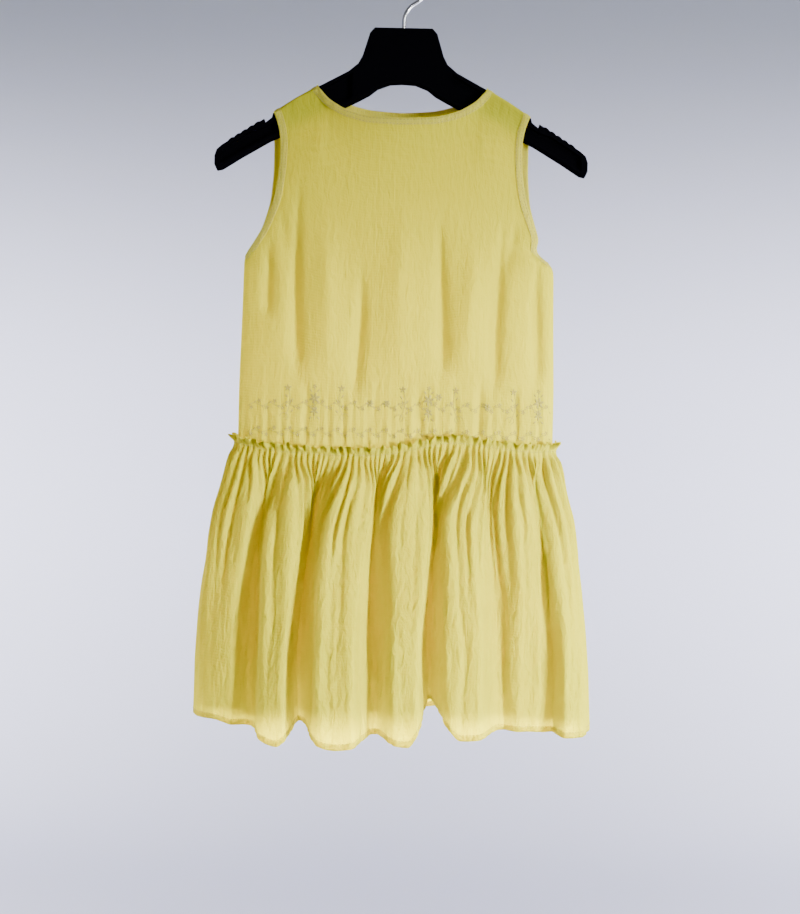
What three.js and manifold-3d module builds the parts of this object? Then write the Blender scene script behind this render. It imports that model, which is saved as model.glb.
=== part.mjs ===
// A child's sleeveless sundress with a gathered skirt, hanging level on a moulded hanger.
// Millimetres, +Z up, X across the dress and the front facing -Y.
// The origin is the inside of the hook's crown, where a rail bears on it.
import * as THREE from 'three';
import { mergeVertices } from 'three/addons/utils/BufferGeometryUtils.js';
import Module from 'manifold-3d';

const wasm = await Module();
wasm.setup();

// Cloth
const wall = 1.2;
const seamGap = 0.3;
const halfSeam = seamGap / 2;

// Heights, all below the hook's bearing point
const blockTop = -62;
const waistHeight = -457;
const hemHeight = -713;
const liningHem = -671;

// Hanger
const hangerHalfDepth = 6;
const hangerChamfer = 1.2;
const rimHeight = 4.5;
const webHalf = 1.5;
const notch = { from: 121, to: 129, depth: 3.8 };
const ribs = { from: 133, pitch: 6, count: 5, height: 1.2 };
const hook = { wireRadius: 1.8, innerRadius: 19, socketDepth: 15, lean: 60, tip: 205 };

// Top and bottom edges of the right half of the hanger, from its middle to its tip
const hangerTop = [
  { x: 0, z: -62 }, { x: 27, z: -62 }, { x: 31.5, z: -67 }, { x: 34.5, z: -77 },
  { x: 38, z: -88.5 }, { x: 42, z: -96 }, { x: 51, z: -103.5 }, { x: 64, z: -110.5 },
  { x: 81, z: -119.6 }, { x: 100, z: -130.5 }, { x: 124, z: -146.5 }, { x: 150, z: -163 },
  { x: 168, z: -174.5 }, { x: 173, z: -179 }, { x: 175, z: -185 },
];
const hangerBottom = [
  { x: 0, z: -112.8 }, { x: 12, z: -113.6 }, { x: 23.5, z: -118 }, { x: 31, z: -124 },
  { x: 42, z: -130 }, { x: 60, z: -139 }, { x: 100, z: -158 }, { x: 124, z: -169.5 },
  { x: 150, z: -185 }, { x: 168, z: -196.5 }, { x: 173, z: -197.5 }, { x: 175, z: -193 },
];
// The recess on each face of an arm stops short of the block and of the tip
const recess = { from: 47, to: 169, steps: 9 };

// Neck and shoulders, as heights of the cloth's top edge at distances from the middle
const shoulderTip = 120;
const neckPoint = 81;
const neckEdgeFront = [
  { x: 0, z: -151.5 }, { x: 32, z: -149.5 }, { x: 55, z: -142 }, { x: 70, z: -131.5 },
  { x: 76, z: -124.5 }, { x: 80.2, z: -117.2 }, { x: 81, z: -117.5 },
];
const neckEdgeBack = [
  { x: 0, z: -135.6 }, { x: 32, z: -134 }, { x: 55, z: -129 }, { x: 70, z: -123 },
  { x: 76, z: -119.2 }, { x: 80.2, z: -117.2 }, { x: 81, z: -117.5 },
];
const besideHanger = 80.2;
const neckCorner = (neckPoint + besideHanger) / 2;
const neckHalfDepth = 22;
const overHanger = 7.6;
const aboveHanger = 2.1;

// Side of the bodice from the shoulder tip down the armhole and the side seam:
// the half width of each panel, the reach of the armhole's edge from the middle plane,
// the depth of the chest, and how the section rounds off to its side (low is squarer)
const bodiceSide = [
  { z: -142.5, front: 120, back: 120, reach: 8, depth: 20, round: 1 },
  { z: -155, front: 114, back: 118, reach: 9, depth: 20, round: 1 },
  { z: -172, front: 110.5, back: 116, reach: 10, depth: 21, round: 1 },
  { z: -198, front: 111, back: 116.5, reach: 11.5, depth: 22, round: 1 },
  { z: -225, front: 116, back: 120, reach: 12, depth: 23, round: 0.9 },
  { z: -250, front: 126, back: 127.5, reach: 10, depth: 24, round: 0.8 },
  { z: -268, front: 136.5, back: 136.5, reach: 6.5, depth: 24, round: 0.7 },
  { z: -280, front: 145.5, back: 145.5, reach: 0, depth: 24.5, round: 0.55 },
  { z: -340, front: 146.5, back: 146.5, reach: 0, depth: 27, round: 0.45 },
  { z: -400, front: 148, back: 148, reach: 0, depth: 30, round: 0.35 },
  { z: -475, front: 148, back: 148, reach: 0, depth: 32, round: 0.3 },
];
const underarm = -280;

// Soft upright folds of the bodice: troughs by a minus depth, ridges by a plus one. They
// fade out beside the side seams, where the section is less round than this
const reliefFrom = 0.45;
const bodiceFolds = {
  front: [
    { x: -122, top: -262, bottom: -330, width: 7, depth: -3 },
    { x: -94, top: -210, bottom: -395, width: 8, depth: -5 },
    { x: -66, top: -230, bottom: -400, width: 12, depth: 3 },
    { x: -36, top: -300, bottom: -410, width: 8, depth: -4 },
    { x: 2, top: -220, bottom: -400, width: 15, depth: 2.5 },
    { x: 40, top: -250, bottom: -395, width: 9, depth: -4.5 },
    { x: 66, top: -240, bottom: -390, width: 11, depth: 2.5 },
    { x: 93, top: -245, bottom: -405, width: 8, depth: -5 },
    { x: 130, top: -278, bottom: -400, width: 6, depth: -3 },
  ],
  back: [
    { x: -112, top: -282, bottom: -400, width: 7, depth: -4 },
    { x: -80, top: -225, bottom: -400, width: 9, depth: -4.5 },
    { x: -48, top: -240, bottom: -400, width: 12, depth: 3 },
    { x: -14, top: -280, bottom: -405, width: 8, depth: -4 },
    { x: 22, top: -220, bottom: -390, width: 13, depth: 2.5 },
    { x: 58, top: -250, bottom: -400, width: 9, depth: -5 },
    { x: 104, top: -290, bottom: -405, width: 8, depth: -4 },
  ],
};

// Rise of the waist seam above its mean height, across the dress
const waistWave = {
  front: [
    { x: -150, rise: 5 }, { x: -122, rise: -3 }, { x: -57, rise: -7 }, { x: -10, rise: -6 },
    { x: 22, rise: 1 }, { x: 54, rise: 8 }, { x: 88, rise: 3 }, { x: 132, rise: -1 },
    { x: 150, rise: 2.5 },
  ],
  back: [
    { x: -150, rise: 5 }, { x: -104, rise: -2 }, { x: -52, rise: 4 }, { x: 0, rise: -4 },
    { x: 46, rise: -6 }, { x: 98, rise: 2 }, { x: 150, rise: 2.5 },
  ],
};
const bodiceUnderSeam = 2;

// How the shoulder's cloth turns over the hanger, from the seam along the top
const shoulderRoll = [
  { below: 0, out: halfSeam }, { below: 0.25, out: 5.7 }, { below: 1.6, out: 7.4 },
  { below: 4, out: overHanger },
];
// The heights below the top edge between which the shoulder grows into the chest
const chestFrom = 4;
const chestAt = 70;

// Rings of the skirt, from the top of the frill to the hem. The part is the share of the
// way from seam to hem, stand is how far the cloth stands off the body line, and wave is
// the half height of the gathers there
const frillHeight = 8;
const skirtLength = waistHeight - hemHeight;
const skirtRings = [
  { part: -frillHeight / skirtLength, width: 148, depth: 32, stand: 5.6, wave: 2.1, fine: true },
  { part: 0, width: 148, depth: 32, stand: 2.6, wave: 0.8, fine: true },
  { part: 0.03, width: 148.5, depth: 33, stand: 4.6, wave: 1.5, fine: true },
  { part: 0.08, width: 150.5, depth: 35, stand: 4.6, wave: 1.7, fine: true },
  { part: 0.15, width: 155, depth: 38, stand: 4.6, wave: 1.2, fine: true },
  { part: 0.24, width: 162.5, depth: 43, stand: 4, wave: 0.6, fine: false },
  { part: 0.36, width: 169, depth: 47, stand: 3, wave: 0, fine: false },
  { part: 0.5, width: 174.5, depth: 52, stand: 2, wave: 0, fine: false },
  { part: 0.65, width: 179, depth: 56, stand: 1, wave: 0, fine: false },
  { part: 0.8, width: 182, depth: 59, stand: 1, wave: 0, fine: false },
  { part: 0.92, width: 183.5, depth: 61, stand: 1, wave: 0, fine: false },
  { part: 1, width: 184.5, depth: 62, stand: 1, wave: 0, fine: false },
];
const gathersPerHalf = 60;
// The half widths that the places of the large folds are measured on
const foldWidth = { top: 162, mid: 175, hem: 184.5 };
const middleFolds = 17;
const middleFoldHeight = 1.8;
// Off the body line at a side seam, and the share of a half over which it gets there
const seamStand = 3.1;
const seamTaper = 1 / 30;
// The gathers' heights vary by this share in a slow wave of so many turns
const uneven = { share: 0.3, turns: 17.2 };
// The large folds start this far down, and flatten out beside the side seams
const foldsFrom = 0.12;
const seamFlat = 0.3;

// Crests of the large folds, left to right as a viewer of that half sees them: where each
// lies at the top, half way and at the hem, how far it stands out there, and the hem's lift
const skirtFolds = {
  front: [
    { top: -150, mid: -156, hem: -158, outTop: 2, outMid: 5, outHem: 8, lift: 1 },
    { top: -119, mid: -124, hem: -128, outTop: -4, outMid: -9, outHem: -10, lift: 2 },
    { top: -104, mid: -105, hem: -101, outTop: 3, outMid: 18, outHem: 34, lift: -1 },
    { top: -74, mid: -77, hem: -77, outTop: -6, outMid: -16, outHem: -20, lift: 3 },
    { top: -45, mid: -46, hem: -45, outTop: 5, outMid: 27, outHem: 50, lift: -2 },
    { top: -15, mid: -16, hem: -12, outTop: -5, outMid: -9, outHem: -2, lift: 2 },
    { top: 15, mid: 13, hem: 16, outTop: 4, outMid: 18, outHem: 32, lift: 0 },
    { top: 44, mid: 38, hem: 40, outTop: -6, outMid: -20, outHem: -34, lift: 7 },
    { top: 66, mid: 62, hem: 65, outTop: 4, outMid: 10, outHem: 14, lift: 0 },
    { top: 92, mid: 95, hem: 104, outTop: -4, outMid: -12, outHem: -22, lift: 2 },
    { top: 118, mid: 121, hem: 126, outTop: 3, outMid: -1, outHem: -12, lift: 2 },
    { top: 139, mid: 143, hem: 146, outTop: -5, outMid: -9, outHem: -14, lift: 1 },
    { top: 152, mid: 161, hem: 167, outTop: 2, outMid: 8, outHem: 14, lift: 0 },
  ],
  back: [
    { top: -148, mid: -155, hem: -160, outTop: 2, outMid: 6, outHem: 10, lift: 0 },
    { top: -122, mid: -128, hem: -131, outTop: -4, outMid: -8, outHem: -12, lift: 2 },
    { top: -96, mid: -98, hem: -102, outTop: 3, outMid: 8, outHem: 16, lift: 0 },
    { top: -68, mid: -68, hem: -66, outTop: -6, outMid: -15, outHem: -19, lift: 3 },
    { top: -38, mid: -36, hem: -33, outTop: 4, outMid: 11, outHem: 20, lift: -1 },
    { top: -8, mid: -4, hem: 2, outTop: -5, outMid: -10, outHem: -14, lift: 2 },
    { top: 24, mid: 28, hem: 31, outTop: 4, outMid: 10, outHem: 18, lift: 0 },
    { top: 52, mid: 57, hem: 62, outTop: -6, outMid: -14, outHem: -20, lift: 3 },
    { top: 84, mid: 90, hem: 96, outTop: 3, outMid: 9, outHem: 18, lift: -1 },
    { top: 112, mid: 119, hem: 128, outTop: -4, outMid: -9, outHem: -14, lift: 1 },
    { top: 146, mid: 152, hem: 158, outTop: 2, outMid: 6, outHem: 10, lift: 0 },
  ],
};

// Lining, as plain rings from the waist, where it hangs from the bodice, to its own hem
const liningRings = [
  { part: 0, width: 148, depth: 31.3 }, { part: 0.07, width: 147, depth: 26.5 },
  { part: 0.35, width: 153, depth: 22 }, { part: 0.65, width: 158, depth: 20 },
  { part: 1, width: 162, depth: 19 },
];
const liningColumns = 40;
const liningDrop = 1.1;

// Bindings and labels
const bindingWidth = 6;
const bindingWall = 1;
const bindingGap = 0.45;
const label = { width: 55, height: 11.3, centre: 1, top: -153, wall: 1 };
const sizeTab = { width: 15, height: 12, centre: 1.5, wall: 1 };

// A value that a table gives at a position, on straight lines between its rows
function between(table, at, position, column) {
  let row = 1;
  const falling = table[1][position] < table[0][position];
  const passed = (value) => (falling ? at < value : at > value);
  while (row < table.length - 1 && passed(table[row][position])) row += 1;
  const a = table[row - 1];
  const b = table[row];
  const share = (at - a[position]) / (b[position] - a[position]);
  const inside = Math.min(1, Math.max(0, share));
  return a[column] + (b[column] - a[column]) * inside;
}

function smoothStep(value) {
  const v = Math.min(1, Math.max(0, value));
  return v * v * (3 - 2 * v);
}

// The same between crests, with a level crest at each row
function betweenCrests(crests, x) {
  let i = 1;
  while (i < crests.length - 1 && x > crests[i].x) i += 1;
  const a = crests[i - 1];
  const b = crests[i];
  const share = smoothStep((x - a.x) / (b.x - a.x));
  return { out: a.out + (b.out - a.out) * share, lift: a.lift + (b.lift - a.lift) * share };
}

function waistRise(side, x) {
  const table = waistWave[side];
  let i = 1;
  while (i < table.length - 1 && x > table[i].x) i += 1;
  const a = table[i - 1];
  const b = table[i];
  return a.rise + (b.rise - a.rise) * smoothStep((x - a.x) / (b.x - a.x));
}

// Both halves are worked out as seen from outside, left to right. The back half is the
// same with a half turn about Z
function place(side, x, y, z) {
  return side === 'front' ? new THREE.Vector3(x, y, z) : new THREE.Vector3(-x, -y, z);
}

function worldX(side, x) {
  return side === 'front' ? x : -x;
}

// Joins two rows of vertex numbers, each four by their shorter diagonal, so that a strip laid
// on a panel folds as the panel does. The upper row may have twice the columns of the lower
function joinRows(upper, lower, faces, points) {
  const twice = upper.length > lower.length;
  for (let j = 0; j < lower.length - 1; j += 1) {
    if (twice) {
      const [a, b, c] = [upper[2 * j], upper[2 * j + 1], upper[2 * j + 2]];
      faces.push([a, lower[j], b], [b, lower[j], lower[j + 1]], [b, lower[j + 1], c]);
    } else {
      const [a, b, c, d] = [upper[j], lower[j], lower[j + 1], upper[j + 1]];
      const rising = points[b].distanceTo(points[d]);
      const falling = points[a].distanceTo(points[c]);
      if (rising <= falling) faces.push([a, b, d], [d, b, c]);
      else faces.push([a, b, c], [a, c, d]);
    }
  }
}

function geometryOf(points, faces) {
  const geometry = new THREE.BufferGeometry();
  const flat = new Float32Array(points.length * 3);
  points.forEach((point, i) => point.toArray(flat, i * 3));
  geometry.setAttribute('position', new THREE.BufferAttribute(flat, 3));
  geometry.setIndex(faces.flat());
  geometry.computeVertexNormals();
  return geometry;
}

// A closed wall from rows of outer points and the inner points behind them. The rows run
// down and their points to the right as seen from outside; a ring's rows close on themselves
function wallGeometry(outerRows, innerRows, ring = false) {
  const points = [];
  const number = (rows) => rows.map((row) => {
    const ids = row.map((point) => points.push(point) - 1);
    return ring ? [...ids, ids[0]] : ids;
  });
  const outer = number(outerRows);
  const inner = number(innerRows);
  const faces = [];
  const inside = [];
  for (let r = 0; r < outer.length - 1; r += 1) {
    joinRows(outer[r], outer[r + 1], faces, points);
    joinRows(inner[r], inner[r + 1], inside, points);
  }
  inside.forEach(([a, b, c]) => faces.push([a, c, b]));
  joinRows(inner[0], outer[0], faces, points);
  joinRows(outer[outer.length - 1], inner[inner.length - 1], faces, points);
  if (!ring) {
    const column = (rows, last) => rows.map((row) => row[last ? row.length - 1 : 0]);
    joinRows(column(outer, false), column(inner, false), faces, points);
    joinRows(column(inner, true), column(outer, true), faces, points);
  }
  return geometryOf(points, faces);
}

// Bodice: across runs from -1 to 1 and up from 0 at the seam to 1 at the top edge
const lowest = waistHeight - bodiceUnderSeam;
const sideLength = between(hangerTop, shoulderTip, 'x', 'z') + aboveHanger - lowest;

function bodiceTop(side, x) {
  const distance = Math.abs(x);
  const neck = side === 'front' ? neckEdgeFront : neckEdgeBack;
  if (distance <= neckPoint) return between(neck, distance, 'x', 'z');
  return between(hangerTop, distance, 'x', 'z') + aboveHanger;
}

function bodiceRelief(side, x, z) {
  let relief = 0;
  for (const fold of bodiceFolds[side]) {
    const share = (fold.top - z) / (fold.top - fold.bottom);
    const along = Math.sin(Math.PI * Math.min(1, Math.max(0, share)));
    const off = (x - fold.x) / fold.width;
    relief += fold.depth * along * Math.exp(-0.5 * off * off);
  }
  return relief;
}

function bodicePoint(side, across, up) {
  const topHere = bodiceTop(side, across * shoulderTip);
  const sideHeight = lowest + up * sideLength;
  const x = across * between(bodiceSide, sideHeight, 'z', side);
  const floor = lowest + waistRise(side, worldX(side, x));
  const z = floor + up * (topHere - floor);
  const below = topHere - z;
  const round = Math.pow(1 - across * across, between(bodiceSide, sideHeight, 'z', 'round'));
  const reach = between(bodiceSide, sideHeight, 'z', 'reach');
  const chest = between(bodiceSide, z, 'z', 'depth') * round + reach * (1 - round);
  const distance = Math.abs(across * shoulderTip);
  let edge;
  if (distance > neckCorner) {
    edge = between(shoulderRoll, below, 'below', 'out');
  } else {
    const share = Math.min(1, distance / besideHanger);
    edge = overHanger + (neckHalfDepth - overHanger) * (1 - share * share);
  }
  const grown = smoothStep((below - chestFrom) / (chestAt - chestFrom));
  const flatEdge = Math.max(halfSeam, edge + (chest - edge) * grown);
  const fade = Math.min(1, round / reliefFrom);
  const out = flatEdge + bodiceRelief(side, x, z) * fade * fade * grown;
  return place(side, x, -Math.max(halfSeam, out), z);
}

function bodiceNormal(side, across, up) {
  const step = 0.004;
  const onShoulder = (value) => Math.abs(value * shoulderTip) > neckCorner;
  const stepped = (by) => {
    const target = Math.min(1, Math.max(-1, across + by));
    return onShoulder(target) === onShoulder(across) ? target : across;
  };
  const a = bodicePoint(side, stepped(-step), up);
  const b = bodicePoint(side, stepped(step), up);
  const c = bodicePoint(side, across, Math.max(0, up - step));
  const d = bodicePoint(side, across, Math.min(1, up + step));
  return b.sub(a).cross(d.sub(c)).normalize();
}

const onSeam = (point) => Math.abs(point.y) < halfSeam + 0.01;

// The same point moved outwards, or inwards by a minus distance, and kept in its seam plane
function bodiceOffset(side, across, up, distance) {
  const point = bodicePoint(side, across, up);
  const normal = bodiceNormal(side, across, up);
  if (onSeam(point)) {
    normal.y = 0;
    normal.normalize();
  }
  return point.addScaledVector(normal, distance);
}

// Columns and rows of the panels. The bindings use the same ones, so that they lie flat
const besideNeck = 0.72;
const neckColumns = [besideHanger / shoulderTip, 76 / shoulderTip, 0.57, 0.5, 0.43, 0.36, 0.29,
  0.22, 0.15, 0.075];
const bodiceColumns = [1, 0.975, 0.95, 0.9, 0.84, 0.78, besideNeck, neckPoint / shoulderTip,
  ...neckColumns];
const armholeDrops = [0, 0.25, 1.6, 4, 13, 30, 56, 84, 108, 122, 131, lowest + sideLength - underarm];
const bodiceDrops = [...armholeDrops, 165, 205, 248, 288, sideLength];

function bodicePanel(side) {
  const left = bodiceColumns.map((share) => -share);
  const right = [...bodiceColumns].reverse();
  const columns = [...left, 0, ...right];
  const outer = bodiceDrops.map((drop) => columns.map((across) => (
    bodicePoint(side, across, 1 - drop / sideLength))));
  const inner = bodiceDrops.map((drop) => columns.map((across) => (
    bodiceOffset(side, across, 1 - drop / sideLength, -wall))));
  return wallGeometry(outer, inner);
}

// A binding follows an edge of both panels as a closed strip on their outside. Each station
// names a panel, its edge point and the point a binding's width in from it
function bindingGeometry(stations) {
  const corners = [
    { share: 0, out: bindingGap }, { share: 0, out: bindingGap + bindingWall },
    { share: 0.5, out: bindingGap + bindingWall }, { share: 1, out: bindingGap + bindingWall },
    { share: 1, out: bindingGap }, { share: 0.5, out: bindingGap },
  ];
  const rows = corners.map(({ share, out }) => stations.map(({ side, edge, inset }) => {
    const across = edge.across + (inset.across - edge.across) * share;
    const drop = edge.drop + (inset.drop - edge.drop) * share;
    return bodiceOffset(side, across, 1 - drop / sideLength, out);
  }));
  const points = [];
  const ids = rows.map((row) => {
    const own = row.map((point) => points.push(point) - 1);
    return [...own, own[0]];
  });
  const faces = [];
  ids.forEach((row, i) => joinRows(row, ids[(i + 1) % ids.length], faces, points));
  return outward(geometryOf(points, faces));
}

function outward(geometry) {
  const index = geometry.index.array;
  const position = geometry.attributes.position;
  const [a, b, c] = [new THREE.Vector3(), new THREE.Vector3(), new THREE.Vector3()];
  let volume = 0;
  for (let i = 0; i < index.length; i += 3) {
    a.fromBufferAttribute(position, index[i]);
    b.fromBufferAttribute(position, index[i + 1]);
    c.fromBufferAttribute(position, index[i + 2]);
    volume += a.dot(b.cross(c));
  }
  if (volume < 0) {
    for (let i = 0; i < index.length; i += 3) {
      [index[i + 1], index[i + 2]] = [index[i + 2], index[i + 1]];
    }
  }
  return geometry;
}

// At the neck point the strip turns over the hanger with the shoulder, a roll row at a time
function neckBinding() {
  const roll = armholeDrops.slice(0, 3);
  const rollStations = [...roll.map((drop) => ({ drop, across: besideNeck, inset: drop })),
    { drop: roll[2], across: besideNeck - 0.012, inset: bindingWidth }];
  const corner = (hand) => rollStations.map(({ drop, across, inset }) => ({
    edge: { across: hand * neckPoint / shoulderTip, drop },
    inset: { across: hand * across, drop: inset },
  }));
  const half = neckColumns.map((share) => ({
    edge: { across: share, drop: 0 }, inset: { across: share, drop: bindingWidth },
  }));
  const mirrored = half.map(({ edge, inset }) => ({
    edge: { across: -edge.across, drop: edge.drop },
    inset: { across: -inset.across, drop: inset.drop },
  }));
  const middle = { edge: { across: 0, drop: 0 }, inset: { across: 0, drop: bindingWidth } };
  const around = [...corner(-1), ...mirrored, middle, ...half.reverse(), ...corner(1).reverse()];
  return bindingGeometry(['front', 'back'].flatMap((side) => (
    around.map((station) => ({ side, ...station })))));
}

// Down the armhole a row at a time, then fanned round the underarm to the side seam
function armholeBinding(hand) {
  const armDrop = armholeDrops[armholeDrops.length - 1];
  const insetAcross = 1 - bindingWidth / shoulderTip;
  const down = armholeDrops.map((drop) => ({
    edge: { across: 1, drop }, inset: { across: insetAcross, drop },
  }));
  const fan = [0.35, 0.7, 1].map((share) => ({
    edge: { across: 1, drop: armDrop },
    inset: {
      across: 1 - (1 - insetAcross) * (1 - share),
      drop: armDrop + bindingWidth * Math.sin((share * Math.PI) / 2),
    },
  }));
  const stations = ['front', 'back'].flatMap((side) => {
    const toward = side === 'front' ? hand : -hand;
    const list = [...down, ...fan].map(({ edge, inset }) => ({
      side,
      edge: { across: toward * edge.across, drop: edge.drop },
      inset: { across: toward * inset.across, drop: inset.drop },
    }));
    return side === 'front' ? list : list.reverse();
  });
  return bindingGeometry(stations);
}

// A thin patch behind the back panel's inner face, made from the panel's own points
function backPatch({ width, height, centre, top, wall: thick }) {
  const columns = 8;
  const rows = 2;
  const faceOf = (depth) => {
    const list = [];
    for (let r = 0; r <= rows; r += 1) {
      const row = [];
      for (let c = 0; c <= columns; c += 1) {
        const x = -(centre - width / 2 + (width * c) / columns);
        const z = top - (height * r) / rows;
        const across = x / shoulderTip;
        const topHere = bodiceTop('back', x);
        const floor = lowest + waistRise('back', worldX('back', x));
        const point = bodiceOffset('back', across, (z - floor) / (topHere - floor), -depth);
        row.push(point.setZ(z));
      }
      list.push(row);
    }
    return list;
  };
  return outward(wallGeometry(faceOf(wall + seamGap + thick), faceOf(wall + seamGap)));
}

// Skirt: the crests of one half at a share of the way down, with its two side seams
function crestsAt(side, ring) {
  const share = Math.max(0, ring.part);
  const crests = skirtFolds[side].map((fold) => {
    const low = share < 0.5;
    const s = low ? share / 0.5 : (share - 0.5) / 0.5;
    const [from, to] = low ? ['top', 'mid'] : ['mid', 'hem'];
    const [outFrom, outTo] = low ? [fold.outTop, fold.outMid] : [fold.outMid, fold.outHem];
    const start = fold[from] / foldWidth[from];
    return {
      x: ring.width * (start + (fold[to] / foldWidth[to] - start) * s),
      out: (outFrom + (outTo - outFrom) * s) * smoothStep(share / foldsFrom),
      lift: fold.lift * share * share,
    };
  });
  const seam = { out: 0, lift: 0 };
  return [{ x: -ring.width, ...seam }, ...crests, { x: ring.width, ...seam }];
}

function skirtPoint(ring, crests, x) {
  const { out, lift } = betweenCrests(crests, x);
  const round = Math.sqrt(Math.max(0, 1 - (x / ring.width) ** 2));
  const squareness = 0.6 - 0.1 * Math.max(0, ring.part);
  const fade = smoothStep(round / seamFlat);
  return { x, y: -(ring.depth * Math.pow(round, squareness) + out * fade), lift: lift * fade };
}

// Where the columns of one half fall among its crests, an even cloth length apart at a
// ring part way down. Kept at every ring, they follow the folds from seam to hem
function columnPlaces(side, count) {
  const ring = skirtRings.find(({ part }) => part === 0.65);
  const crests = crestsAt(side, ring);
  const samples = 900;
  const line = [];
  for (let i = 0; i <= samples; i += 1) {
    line.push(skirtPoint(ring, crests, -ring.width * Math.cos((Math.PI * i) / samples)));
  }
  const lengths = [0];
  for (let i = 1; i < line.length; i += 1) {
    lengths.push(lengths[i - 1] + Math.hypot(line[i].x - line[i - 1].x, line[i].y - line[i - 1].y));
  }
  const places = [];
  let i = 1;
  for (let k = 0; k <= count; k += 1) {
    const want = (lengths[samples] * k) / count;
    while (i < samples && lengths[i] < want) i += 1;
    const s = (want - lengths[i - 1]) / (lengths[i] - lengths[i - 1]);
    const x = line[i - 1].x + (line[i].x - line[i - 1].x) * s;
    let crest = 0;
    while (crest < crests.length - 2 && x > crests[crest + 1].x) crest += 1;
    places.push({ crest, share: (x - crests[crest].x) / (crests[crest + 1].x - crests[crest].x) });
  }
  return places;
}

function lineNormal(points, k) {
  const last = points.length - 1;
  if (k === 0) return { x: -1, y: 0 };
  if (k === last) return { x: 1, y: 0 };
  const a = points[k - 1];
  const b = points[k + 1];
  const length = Math.hypot(b.x - a.x, b.y - a.y);
  return { x: (b.y - a.y) / length, y: -(b.x - a.x) / length };
}

function skirtRow(side, ring, depthIn) {
  const count = gathersPerHalf * (ring.fine ? 2 : 1);
  const crests = crestsAt(side, ring);
  const points = columnPlaces(side, count).map(({ crest, share }) => (
    skirtPoint(ring, crests, crests[crest].x + (crests[crest + 1].x - crests[crest].x) * share)));
  return points.map((point, k) => {
    const normal = lineNormal(points, k);
    const turn = (Math.PI * 2 * k) / count;
    const atEnd = Math.min(1, Math.min(k, count - k) / (count * seamTaper));
    const height = ring.wave * (1 + uneven.share * Math.sin(uneven.turns * turn));
    const gather = ring.fine ? (k % 2 === 0 ? -1 : 1) * height : 0;
    const middle = middleFoldHeight * Math.sin(middleFolds * turn + 1.3 * Math.sin(1.4 * turn));
    const settled = smoothStep(ring.part / foldsFrom) * (1 - smoothStep((ring.part - 0.25) / 0.4));
    const stand = ring.stand * atEnd + seamStand * (1 - atEnd);
    const out = stand + (gather + middle * settled) * atEnd - depthIn;
    const seam = waistHeight + waistRise(side, worldX(side, point.x));
    const hem = hemHeight + point.lift;
    const z = ring.part < 0 ? seam - ring.part * skirtLength : seam + (hem - seam) * ring.part;
    const x = point.x + normal.x * out;
    const y = Math.min(-halfSeam, point.y + normal.y * out);
    return place(side, x, k === 0 || k === count ? -halfSeam : y, z);
  });
}

function skirtPanel(side) {
  const outer = skirtRings.map((ring) => skirtRow(side, ring, 0));
  const inner = skirtRings.map((ring) => skirtRow(side, ring, wall));
  return wallGeometry(outer, inner);
}

function skirtLining() {
  const rowAt = (ring, inset) => {
    const row = [];
    for (let k = 0; k < liningColumns; k += 1) {
      const turn = (Math.PI * 2 * k) / liningColumns;
      const c = Math.cos(turn);
      const s = Math.sin(turn);
      const x = -(ring.width - inset) * c;
      const y = -Math.sign(s) * (ring.depth - inset) * Math.pow(Math.abs(s), 0.6);
      const top = lowest - liningDrop + waistRise(s > 0 ? 'front' : 'back', x);
      row.push(new THREE.Vector3(x, y, top + (liningHem - top) * ring.part));
    }
    return row;
  };
  const rings = liningRings;
  return outward(wallGeometry(rings.map((r) => rowAt(r, 0)), rings.map((r) => rowAt(r, wall)), true));
}

// Solids for cutting
function solidOf(geometry) {
  const bare = geometry.clone();
  bare.deleteAttribute('normal');
  bare.deleteAttribute('uv');
  const merged = mergeVertices(bare, 1e-4);
  return new wasm.Manifold(new wasm.Mesh({
    numProp: 3,
    vertProperties: merged.attributes.position.array,
    triVerts: new Uint32Array(merged.index.array),
  }));
}

function geometryFrom(solid) {
  const mesh = solid.getMesh();
  const geometry = new THREE.BufferGeometry();
  geometry.setAttribute('position', new THREE.BufferAttribute(new Float32Array(mesh.vertProperties), 3));
  geometry.setIndex(Array.from(mesh.triVerts));
  geometry.computeVertexNormals();
  return geometry;
}

// A plate drawn in X and Z and made thick along Y, from one Y to another
function plate(points, from, to, chamfer = 0) {
  const shape = new THREE.Shape(points.map(({ x, z }) => new THREE.Vector2(x, z)));
  const geometry = new THREE.ExtrudeGeometry(shape, {
    depth: to - from - 2 * chamfer,
    bevelEnabled: chamfer > 0,
    bevelThickness: chamfer,
    bevelSize: chamfer,
    bevelOffset: -chamfer,
    bevelSegments: 1,
    curveSegments: 1,
  });
  geometry.rotateX(Math.PI / 2);
  geometry.translate(0, to - chamfer, 0);
  return geometry;
}

// The arm's upper edge with its strap notch and its row of small round ribs
function armTop() {
  const edge = (x) => between(hangerTop, x, 'x', 'z');
  const list = hangerTop.filter(({ x }) => x < notch.from);
  list.push({ x: notch.from, z: edge(notch.from) });
  list.push({ x: notch.from + 0.8, z: edge(notch.from) - notch.depth });
  list.push({ x: notch.to - 0.8, z: edge(notch.to) - notch.depth });
  list.push({ x: notch.to, z: edge(notch.to) });
  for (let i = 0; i < ribs.count; i += 1) {
    const start = ribs.from + i * ribs.pitch;
    list.push({ x: start, z: edge(start) });
    for (const share of [0.25, 0.5, 0.75]) {
      const x = start + share * ribs.pitch;
      list.push({ x, z: edge(x) + ribs.height * Math.sin(Math.PI * share) });
    }
  }
  const end = ribs.from + ribs.count * ribs.pitch;
  list.push({ x: end, z: edge(end) });
  return [...list, ...hangerTop.filter(({ x }) => x > end)];
}

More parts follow.
